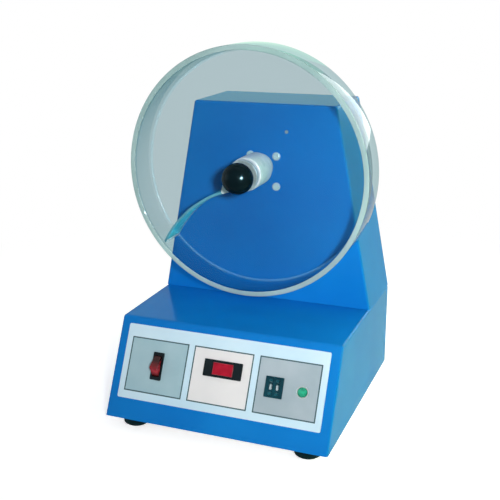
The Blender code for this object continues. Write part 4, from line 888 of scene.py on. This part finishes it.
def makeDrum():
    low, high = localBox("drum_body", drumPlace)
    outer, inner, floor = high.x, high.x - drumSizes["wall"], low.z + drumSizes["back"]
    bore, edge, glue = drumSizes["bore"], drumSizes["edge"], drumSizes["glue"]
    profile = roundedPath([
        (outer, high.z, edge), (outer, low.z, edge), (bore, low.z, 0),
        (bore, floor, 0), (inner, floor, glue), (inner, high.z, edge * drumSizes["innerEdge"]),
    ], steps=4)
    mesh = turnedMesh("drumBody", profile, drumSizes["segments"], drumPlace)
    front, corner = towerFront - high.z, towerFront - floor

    def choose(centre, normal):
        radius = math.hypot(centre.x, centre.z - axisHeight)
        if centre.y < front + edge:
            return 1
        inCorner = corner - glue < centre.y < corner and inner - glue < radius < inner
        return 2 if inCorner and abs(normal.y) > drumSizes["facing"] else 0

    names = ["clearAcrylic", "rimAcrylic", "seamAcrylic"]
    addPiece("drumBody", mesh, names, ["drum_body"], choose=choose)


def makeDrumCover():
    low, high = localBox("drum_cover", drumPlace)
    edge, bore = drumSizes["edge"] * drumSizes["innerEdge"], drumSizes["coverBore"]
    profile = roundedPath([
        (high.x, high.z, edge), (high.x, low.z, edge), (bore, low.z, 0), (bore, high.z, 0),
    ], steps=3)
    addTurned("drumCover", "drum_cover", "clearAcrylic", profile, drumSizes["segments"])


# wedge is the root's end, across and up from the drum's middle, and the facings tell its front and its edges
vane = {
    "edge": 0.5 * mm, "seam": 1.6 * mm, "wedge": (-31.7 * mm, -23.5 * mm), "tip": 5 * mm,
    "frontFacing": -0.9, "edgeFacing": -0.5,
}


def makeVane():
    mesh = softened(cadMesh("drum_vane"), vane["edge"], segments=2)
    inner = drumHigh.x - drumSizes["wall"]
    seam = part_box("drum_vane")[1].y - vane["seam"]
    form = bmesh.new()
    form.from_mesh(mesh)
    x, z = vane["wedge"]
    cutAcross(form, (0, seam, 0), (0, 1, 0))
    cutAcross(form, (x, 0, axisHeight + z), (x, 0, z))
    root = math.hypot(x, z)
    mesh = meshOf(form, "drumVane")

    def choose(centre, normal):  # the glued back edge and tip are white, and so is the sawn root
        radius = math.hypot(centre.x, centre.z - axisHeight)
        if normal.y < vane["frontFacing"] and radius < root:
            return 3
        if centre.y > seam or radius > inner - vane["tip"]:
            return 1
        return 2 if normal.y < vane["edgeFacing"] else 0

    names = ["vaneAcrylic", "gluedAcrylic", "vaneEdge", "sawnAcrylic"]
    addPiece("drumVane", mesh, names, ["drum_vane"], choose=choose)


# Hub, shaft, washer and knob

hub = {
    "edge": 1.2 * mm, "fineEdge": 0.6 * mm, "bore": 6.3 * mm, "boreEdge": 0.5 * mm, "flange": 8 * mm,
    "boss": 11 * mm, "bossEdge": 0.8 * mm, "segments": 96,
}
bush = {"barrel": 9.7 * mm, "rim": 2.4 * mm, "edge": 0.5 * mm, "seatEdge": 0.3 * mm, "boreEdge": 0.4 * mm}
stud = {"crest": 5 * mm, "pitch": 1.5 * mm, "thread": 0.5 * mm, "length": 12 * mm, "segments": 48}
washer = {"frontEdge": 0.6 * mm, "rearEdge": 0.48 * mm}
knob = {
    "ball": 18.5 * mm, "flat": 12 * mm, "bore": 5.3 * mm, "boreDepth": 11 * mm, "steps": 28, "segments": 96,
}


def makeHub():
    low, high = localBox("hub_sleeve", drumPlace)
    bore, edge, fine = hub["bore"], hub["edge"], hub["fineEdge"]
    profile = roundedPath([
        (high.x, high.z, edge), (high.x, low.z, edge), (bore, low.z, 0), (bore, high.z, hub["boreEdge"]),
    ], steps=5)
    addTurned("hubSleeve", "hub_sleeve", "aluminium", profile, hub["segments"])
    low, high = localBox("hub_flange", drumPlace)
    step, boss = high.z - hub["flange"], hub["boss"]
    profile = roundedPath([
        (high.x, high.z, edge), (high.x, step, fine), (boss, step, hub["bossEdge"]), (boss, low.z, fine),
        (bore, low.z, 0), (bore, high.z, 0),
    ], steps=5)
    addTurned("hubFlange", "hub_flange", "aluminium", profile, hub["segments"])


def makeBush():
    low, high = localBox("shaft_bush", drumPlace)
    bore, barrel, edge, seat = hub["bore"], bush["barrel"], bush["edge"], high.z - bush["rim"]
    profile = roundedPath([
        (high.x, high.z, edge), (high.x, seat, bush["seatEdge"]), (barrel, seat, 0), (barrel, low.z, edge),
        (bore, low.z, 0), (bore, high.z, bush["boreEdge"]),
    ], steps=4)
    addTurned("shaftBush", "shaft_bush", "bronze", profile, hub["segments"])


def makeShaft():
    low, high = localBox("drive_shaft", drumPlace)
    shoulder = localBox("hub_sleeve", drumPlace)[1].z
    radius, crest, pitch = high.x, stud["crest"], stud["pitch"]
    root = crest - stud["thread"]
    profile = [(0, high.z), (root, high.z)]
    for i in range(int(stud["length"] / pitch)):
        z = high.z - (i + 0.5) * pitch
        profile += [(crest, z), (root, z - pitch / 2)]
    profile += [(crest, shoulder), (radius, shoulder), (radius, low.z), (0, low.z)]
    addTurned("driveShaft", "drive_shaft", "steel", profile, stud["segments"])


def makeWasher():
    low, high = localBox("clamp_washer", drumPlace)
    bore = knob["bore"]
    profile = roundedPath([
        (high.x, high.z, washer["frontEdge"]), (high.x, low.z, washer["rearEdge"]), (bore, low.z, 0),
        (bore, high.z, 0),
    ], steps=5)
    # the washer gets the aluminium with painted shade
    addTurned("clampWasher", "clamp_washer", "washerAluminium", profile, hub["segments"])


def makeKnob():  # a ball with a flat where it meets the washer
    low = localBox("clamp_knob", drumPlace)[0]
    rise = math.sqrt(knob["ball"] ** 2 - knob["flat"] ** 2)
    centre = (0, low.z + rise)
    ball = arcPoints(centre, knob["ball"], math.pi / 2, math.atan2(-rise, knob["flat"]), knob["steps"])
    ball[0] = (0, centre[1] + knob["ball"])
    floor = low.z + knob["boreDepth"]
    profile = ball + [(knob["bore"], low.z), (knob["bore"], floor), (0, floor)]
    addTurned("clampKnob", "clamp_knob", "glossBlack", profile, knob["segments"], angle=40)


makeDrum()
makeDrumCover()
makeVane()
makeHub()
makeBush()
makeShaft()
makeWasher()
makeKnob()
print("drum, hub and knob made")


# Label plate with its printed fields

label = {
    "corner": 2 * mm, "edge": 0.25 * mm, "gap": 7.4 * mm, "above": 15.1 * mm, "below": 9.2 * mm,
    "line": 1.5 * mm, "outerCorner": 0.4 * mm, "innerCorner": 0.2 * mm, "ink": 0.06 * mm, "tint": 0.03 * mm,
}
fields = {"Left": "fieldTeal", "Middle": "fieldWhite", "Right": "fieldGrey"}


def makeLabel():
    low, high = localBox("label_plate", panelPlace)
    width, height = high.x - low.x, high.y - low.y
    centre = (0, (low.y + high.y) / 2)
    holes = panelCutters()
    plate = prismForm(boxOutline(width, height, label["corner"], centre, steps=6), low.z, high.z)
    plate = joinedTo(meshOf(plate, "labelPlate", panelPlace), holes)
    plate = softened(plate, label["edge"], segments=2)
    addPiece("labelPlate", plate, "labelFilm", ["label_plate"])
    wide = (width - (len(fields) + 1) * label["gap"]) / len(fields)
    bottom, top = low.y + label["below"], high.y - label["above"]
    tall, middle, line, surface = top - bottom, (bottom + top) / 2, label["line"], high.z
    for i, (name, finish) in enumerate(fields.items()):
        x = (i - 1) * (wide + label["gap"])
        outer = boxOutline(wide, tall, label["outerCorner"], (x, middle))
        inner = boxOutline(wide - 2 * line, tall - 2 * line, label["innerCorner"], (x, middle))
        border = prismMesh("border", outer, surface, surface + label["ink"], panelPlace)
        window = prismMesh("window", inner, surface - overrun, surface + overrun, panelPlace)
        addPiece("fieldBorder" + name, joinedTo(border, [window]), "darkInk", body="housing")
        tint = prismMesh("tint", inner, surface, surface + label["tint"], panelPlace)
        addPiece("field" + name, joinedTo(tint, panelCutters()), finish, body="housing")


# Devices on the panel

switch = {"bodyEdge": 0.35 * mm, "rockerEdge": 0.45 * mm, "rockerAngle": 30}


def makeSwitch():
    addRounded("switchBody", "switch_body", "blackPlastic", switch["bodyEdge"])
    edge, angle = switch["rockerEdge"], switch["rockerAngle"]
    addRounded("switchRocker", "switch_rocker", "rockerRed", edge, angle=angle)


display = {"bezelEdge": 0.4 * mm, "windowEdge": 0.7 * mm, "moduleEdge": 0.3 * mm, "frontFacing": 0.97}
digitBar = {
    # level and upright are how much shorter a bar is than its run between two corners, by the bar's width
    "width": 5.4 * mm, "height": 9.6 * mm, "bar": 1.0 * mm, "pitch": 9.2 * mm, "lean": 0.09,
    "proud": 0.15 * mm, "level": 0.6, "upright": 0.4,
}


def barMesh(length, width, height):  # a bar with pointed ends
    half, tip = length / 2, width / 2
    inner = half - tip
    outline = [(-half, 0), (-inner, -tip), (inner, -tip), (half, 0), (inner, tip), (-inner, tip)]
    return prismMesh("bar", outline, 0, height)


def makeDisplay():
    addRounded("displayBezel", "display_bezel", "blackPlastic", display["bezelEdge"])
    window = softened(cadMesh("display_window"), display["windowEdge"], segments=2)
    outward = panelPlace.to_3x3().col[2]

    def choose(centre, normal):
        return 0 if normal.dot(outward) > display["frontFacing"] else 1

    addPiece("displayWindow", window, ["redWindow", "windowEdge"], ["display_window"], choose=choose)
    addRounded("displayModule", "display_module", "blackPlastic", display["moduleEdge"], segments=2)


def makeDigits():  # two figures of seven bars each, all lit
    x, y = centreOf("display_window", panelPlace)
    top = localBox("display_module", panelPlace)[1].z
    bar = digitBar["bar"]
    wide, tall = digitBar["width"] - bar, digitBar["height"] - bar
    lean = Matrix(((1, digitBar["lean"], 0, 0), (0, 1, 0, 0), (0, 0, 1, 0), (0, 0, 0, 1)))
    level, upright = wide - digitBar["level"] * bar, tall / 2 - digitBar["upright"] * bar
    places = [(0, s * tall / 2, 0, level) for s in (-1, 0, 1)]
    places += [(sx * wide / 2, sy * tall / 4, 90, upright) for sx in (-1, 1) for sy in (-1, 1)]
    bars = []
    for digit in (-1, 1):
        shift = Matrix.Translation((x + digit * digitBar["pitch"] / 2, y, top))
        for across, up, turn, length in places:
            mesh = barMesh(length, bar, digitBar["proud"])
            spot = Matrix.Translation((across, up, 0)) @ Matrix.Rotation(math.radians(turn), 4, "Z")
            mesh.transform(panelPlace @ shift @ lean @ spot)
            bars.append(mesh)
    addPiece("displaySegments", merged("displaySegments", bars), "segmentRed", body="housing")


setter = {
    "bodyEdge": 0.3 * mm, "buttonEdge": 0.35 * mm, "wheelEdge": 0.3 * mm, "wheelBore": 1.3 * mm,
    "wheelSegments": 60, "showing": {"tens": 0, "units": 4}, "numeral": 3.3 * mm, "ink": 0.06 * mm,
    "slice": 0.4 * mm, "merge": 0.005 * mm, "mask": (4.0 * mm, 6.8 * mm),
    "maskCorner": 0.2 * mm, "maskDepths": (1.6 * mm, 0.3 * mm), "window": (3.7 * mm, 6.5 * mm),
    "windowRound": 0.48,
}


def numeralMesh(text, radius, turn):  # a numeral bent round a wheel, upright where the turn is nought
    curve = bpy.data.curves.new("numeral", "FONT")
    curve.body = text
    curve.size = setter["numeral"]
    curve.extrude = setter["ink"]
    curve.align_x = "CENTER"
    curve.align_y = "CENTER"
    flat = addObject("numeral", curve)
    graph = bpy.context.evaluated_depsgraph_get()
    mesh = bpy.data.meshes.new_from_object(flat.evaluated_get(graph))
    bpy.data.objects.remove(flat)
    form = bmesh.new()
    form.from_mesh(mesh)
    bmesh.ops.remove_doubles(form, verts=form.verts, dist=setter["merge"])
    half = int(setter["numeral"] / setter["slice"])
    for i in range(-half, half + 1):
        cutAcross(form, (0, i * setter["slice"], 0), (0, 1, 0))
    for vert in form.verts:
        angle = vert.co.y / radius + turn
        reach = radius + vert.co.z
        vert.co = (vert.co.x, reach * math.sin(angle), reach * math.cos(angle))
    bmesh.ops.recalc_face_normals(form, faces=form.faces)
    return meshOf(form, "numeral")


def makeWheel(digit, low, high):
    radius, half = (high.y - low.y) / 2, (high.x - low.x) / 2
    bore, edge = setter["wheelBore"], setter["wheelEdge"]
    place = panelPlace @ Matrix.Translation((low + high) / 2)
    corners = [(radius, half, edge), (radius, -half, edge), (bore, -half, 0), (bore, half, 0)]
    across = place @ Matrix.Rotation(math.radians(90), 4, "Y")
    profile = roundedPath(corners, steps=3)
    addTurned(digit + "Wheel", digit + "_wheel", "wheelPlastic", profile, setter["wheelSegments"], across)
    numerals = []
    for i in range(10):
        numeral = numeralMesh(str((setter["showing"][digit] + i) % 10), radius, -i * fullTurn / 10)
        numeral.transform(place)
        numerals.append(numeral)
    addPiece(digit + "Numerals", merged(digit + "Numerals", numerals), "numeralInk", body=digit + "_wheel")


def maskMesh(centre, top):  # a cover with an oval window, before a wheel
    wide, tall = setter["window"]
    outer = boxOutline(*setter["mask"], setter["maskCorner"], centre)
    inner = boxOutline(wide, tall, wide * setter["windowRound"], centre, steps=8)
    back, front = setter["maskDepths"]
    mask = prismMesh("mask", outer, top - back, top - front, panelPlace)
    return joinedTo(mask, [prismMesh("hole", inner, top - overrun, top + overrun, panelPlace)])


def makeSetter():
    addRounded("setterBody", "setter_body", "tealPlastic", setter["bodyEdge"])
    top = localBox("setter_body", panelPlace)[1].z
    masks = []
    for digit in setter["showing"]:
        low, high = localBox(digit + "_wheel", panelPlace)
        makeWheel(digit, low, high)
        masks.append(maskMesh(centreOf(digit + "_wheel", panelPlace), top))
        for press in ("plus", "minus"):
            name = f"{digit}{press.title()}Button"
            addRounded(name, f"{digit}_{press}_button", "tealButton", setter["buttonEdge"])
    addPiece("setterMasks", merged("setterMasks", masks), "tealPlastic", body="housing")


lamp = {
    "edge": 0.7 * mm, "segments": 72, "seat": 1.8 * mm, "barrel": 6.2 * mm, "barrelEdge": 0.4 * mm,
    "recess": 5.9 * mm, "recessEdge": 0.3 * mm, "bore": 3.9 * mm, "stem": 3.6 * mm, "rise": 3 * mm,
    "brim": 1 * mm, "domeSteps": 14,
}


def makeLamp():
    place = panelPlace @ Matrix.Translation((*centreOf("lamp_bezel", panelPlace), 0))
    low, high = localBox("lamp_bezel", panelPlace)
    radius = (high.x - low.x) / 2
    seat, floor = high.z - lamp["seat"], high.z - lamp["brim"]
    barrel, recess, bore = lamp["barrel"], lamp["recess"], lamp["bore"]
    profile = roundedPath([
        (radius, high.z, lamp["edge"]), (radius, seat, 0),
        (barrel, seat, 0), (barrel, low.z, lamp["barrelEdge"]), (bore, low.z, 0),
        (bore, floor, 0), (recess, floor, 0), (recess, high.z, lamp["recessEdge"]),
    ], steps=5)
    addTurned("lampRing", "lamp_bezel", "chrome", profile, lamp["segments"], place)
    low, high = localBox("lamp_lens", panelPlace)
    radius = (high.x - low.x) / 2
    rise, stem, steps = lamp["rise"], lamp["stem"], lamp["domeSteps"]
    brim = high.z - rise
    angles = [math.pi / 2 * (1 - i / steps) for i in range(steps + 1)]
    dome = [(radius * math.cos(a), brim + rise * math.sin(a)) for a in angles]
    dome[0] = (0, high.z)
    under = brim - lamp["brim"]
    profile = dome + [(radius, under), (stem, under), (stem, low.z), (0, low.z)]
    addTurned("lampLens", "lamp_lens", "greenLens", profile, lamp["segments"], place)


makeLabel()
makeSwitch()
makeDisplay()
makeDigits()
makeSetter()
makeLamp()
print("panel made")


# Rear devices, motor and inner pieces

rounded = {
    # piece: node, finish, width of the rounded edges
    "mainsInlet": ("mains_inlet", "blackPlastic", 0.4 * mm),
    "linePin": ("inlet_pin_line", "steel", 0.4 * mm),
    "neutralPin": ("inlet_pin_neutral", "steel", 0.4 * mm),
    "earthPin": ("inlet_pin_earth", "steel", 0.4 * mm),
    "fuseHolder": ("fuse_holder", "blackPlastic", 0.4 * mm),
    "fuseCap": ("fuse_cap", "blackPlastic", 0.3 * mm),
    "fine_gearbox": ("gearbox", "zincPlate", 0.8 * mm),
    "fine_drive_motor": ("drive_motor", "steel", 1.0 * mm),
    "fine_transformer_core": ("transformer_core", "coreIron", 0.4 * mm),
    "fine_transformer_coil": ("transformer_coil", "copperWinding", 1.2 * mm),
    "fine_control_board": ("control_board", "circuitBoard", 0.2 * mm),
    "fine_relay": ("relay", "whitePlastic", 0.5 * mm),
    "fine_terminal_block": ("terminal_block", "blackPlastic", 0.5 * mm),
    "fine_capacitor": ("capacitor", "aluminium", 0.8 * mm),
    "fine_digit_axle": ("digit_axle", "steel", 0.2 * mm),
}
gearboxScrews = {"seat": 0.3 * mm, "shank": 2.5 * mm, "shankSegments": 24, "headSegments": 40}


def makeGearboxScrews():
    nodes = [f"gearbox_screw_{i}" for i in (1, 2, 3, 4)]
    seat = gearboxScrews["seat"]
    points = [(*centreOf(node, drumPlace), seat) for node in nodes]
    low, high = localBox(nodes[0], drumPlace)
    height = high.z - seat
    head = screwMesh((high.x - low.x) / 2, height, gearboxScrews["headSegments"])
    shank = rodMesh("shank", gearboxScrews["shank"], low.z, height / 3, gearboxScrews["shankSegments"])
    whole = joinedTo(head, [shank], "UNION")
    mesh = repeated(pointTree, whole, "nickel", points, Turn=fullTurn, Seed=4)
    mesh.transform(drumPlace)
    addPiece("gearboxScrews", mesh, "nickel", nodes)


for pieceName, (nodeName, finishName, edgeWidth) in rounded.items():
    addRounded(pieceName, nodeName, finishName, edgeWidth)
makeGearboxScrews()
print("rear devices and inner pieces made")


# Studio: camera, lamps, floor and world

camera = {
    "place": (0.37326, -0.96426, 0.51637), "yaw": 0.3756, "pitch": 0.2994, "roll": -0.0069, "lens": 62.707,
    "sensor": 36, "reach": 100,
}


def addCamera():
    yaw, pitch, roll = camera["yaw"], camera["pitch"], camera["roll"]
    ahead = Vector((-math.sin(yaw) * math.cos(pitch), math.cos(yaw) * math.cos(pitch), -math.sin(pitch)))
    right = Vector((math.cos(yaw), math.sin(yaw), 0))
    up = right.cross(ahead)
    level = Matrix((right, up, -ahead)).transposed().to_4x4()
    data = bpy.data.cameras.new("camera")
    data.lens = camera["lens"]
    data.sensor_width = camera["sensor"]
    data.sensor_fit = "HORIZONTAL"
    data.clip_end = camera["reach"]
    seen = addObject("camera", data)
    seen.matrix_world = Matrix.Translation(camera["place"]) @ level @ Matrix.Rotation(roll, 4, "Z")
    bpy.context.scene.camera = seen


lamps = {
    # name: place, target, size, spread in degrees, watts, colour, what sees it
    "key": ((0.60, -1.12, 0.62), (0.12, 0, 0.28), 0.10, 54, 1.5, (1, 1, 1), "diffuse"),
    "glint": ((0.95, -0.85, 0.66), (0, -0.13, 0.299), 0.20, 12, 1.3, (1, 1, 1), "glossy"),
    "sheen": ((-0.67, 1.7, 0.93), (0, 0, 0.35), 1.2, 180, 1.8, (0.28, 1, 0.55), "glossy"),
    "fill": ((-1.6, -0.7, 0.6), (0, 0, 0.2), 1.0, 180, 3.5, (1, 1, 1), "both"),
    "side": ((1.7, 0.45, 0.35), (0.1, 0, 0.2), 0.8, 180, 21, (0.52, 1, 0.24), "diffuse"),
    "back": ((0.9, 1.8, 0.9), (0, 0, 0.2), 1.2, 180, 15, (0.94, 1, 0.96), "both"),
    "top": ((0.3, 0.4, 1.9), (0, 0, 0.2), 1.2, 180, 2.8, (1, 1, 1), "both"),
}


def addLamps():
    for name, (place, target, size, spread, watts, colour, seenBy) in lamps.items():
        data = bpy.data.lights.new(name, "AREA")
        data.shape = "SQUARE"
        data.size = size
        data.spread = math.radians(spread)
        data.energy = watts
        data.color = colour
        lampObject = addObject(name, data)
        lampObject.visible_diffuse = seenBy != "glossy"
        lampObject.visible_glossy = seenBy != "diffuse"
        lampObject.location = place
        lampObject.rotation_mode = "QUATERNION"
        lampObject.rotation_quaternion = (Vector(target) - Vector(place)).to_track_quat("-Z", "Y")


studio = {
    # the floor turns white from near to far, metal sees that white at mirrored, and behind glassDepth clear
    # layers it is less by dimmed
    "floorRadius": 12, "floorSegments": 96, "floorColour": (0.86, 0.87, 0.88), "floorRoughness": 0.9,
    "near": 0.30, "far": 0.85, "lift": 0.60,
    "ambient": 0.27, "mirrored": 0.65, "dimmed": 0.30, "glassDepth": 4.0,
}


def seenStraight(tree):  # one where the camera or glass looks at it, less in a mirror and behind acrylic
    rays = addNode(tree, "ShaderNodeLightPath").outputs
    mirrored = addMath(tree, "MULTIPLY", rays["Is Glossy Ray"], studio["mirrored"])
    first = addMath(tree, "MAXIMUM", rays["Is Camera Ray"], mirrored)
    either = addMath(tree, "MAXIMUM", first, rays["Is Transmission Ray"])
    behind = addRange(tree, rays["Transparent Depth"], 0.0, studio["glassDepth"], 1.0, 1 - studio["dimmed"])
    return addMath(tree, "MULTIPLY", either, behind)


def addFloor():
    form = bmesh.new()
    bmesh.ops.create_circle(
        form, cap_ends=True, segments=studio["floorSegments"], radius=studio["floorRadius"]
    )
    floor = addObject("floor", meshOf(form, "floor"))
    tree, shader, coordinates = startMaterial("floor")
    setSockets(shader, {
        "Base Color": (*studio["floorColour"], 1.0), "Roughness": studio["floorRoughness"],
        "Specular IOR Level": 0.0,
    })
    distance = addNode(tree, "ShaderNodeVectorMath", {0: coordinates}, operation="LENGTH").outputs["Value"]
    away = addNode(
        tree, "ShaderNodeMapRange", {0: distance, 1: studio["near"], 2: studio["far"]},
        interpolation_type="SMOOTHSTEP",
    )
    white = addNode(tree, "ShaderNodeEmission", {"Strength": seenStraight(tree)})
    seen = addNode(tree, "ShaderNodeLightPath").outputs["Is Camera Ray"]
    glow = addNode(tree, "ShaderNodeEmission", {"Strength": addMath(tree, "MULTIPLY", seen, studio["lift"])})
    lit = addNode(tree, "ShaderNodeAddShader", {0: shader.outputs[0], 1: glow.outputs[0]}).outputs[0]
    whole = addNode(tree, "ShaderNodeMixShader", {0: away.outputs[0], 1: lit, 2: white.outputs[0]})
    tree.links.new(whole.outputs[0], tree.nodes["Material Output"].inputs["Surface"])
    floor.data.materials.append(materials["floor"])


def addWorld():
    world = bpy.data.worlds.new("studio")
    bpy.context.scene.world = world
    world.use_nodes = True
    tree = world.node_tree
    strength = addRange(tree, seenStraight(tree), 0.0, 1.0, studio["ambient"], 1.0)
    background = tree.nodes["Background"]
    setSockets(background, {"Color": (1, 1, 1, 1)})
    tree.links.new(strength, background.inputs["Strength"])


addCamera()
addLamps()
addFloor()
addWorld()
bpy.context.scene.view_settings.view_transform = "Standard"
print("studio made")
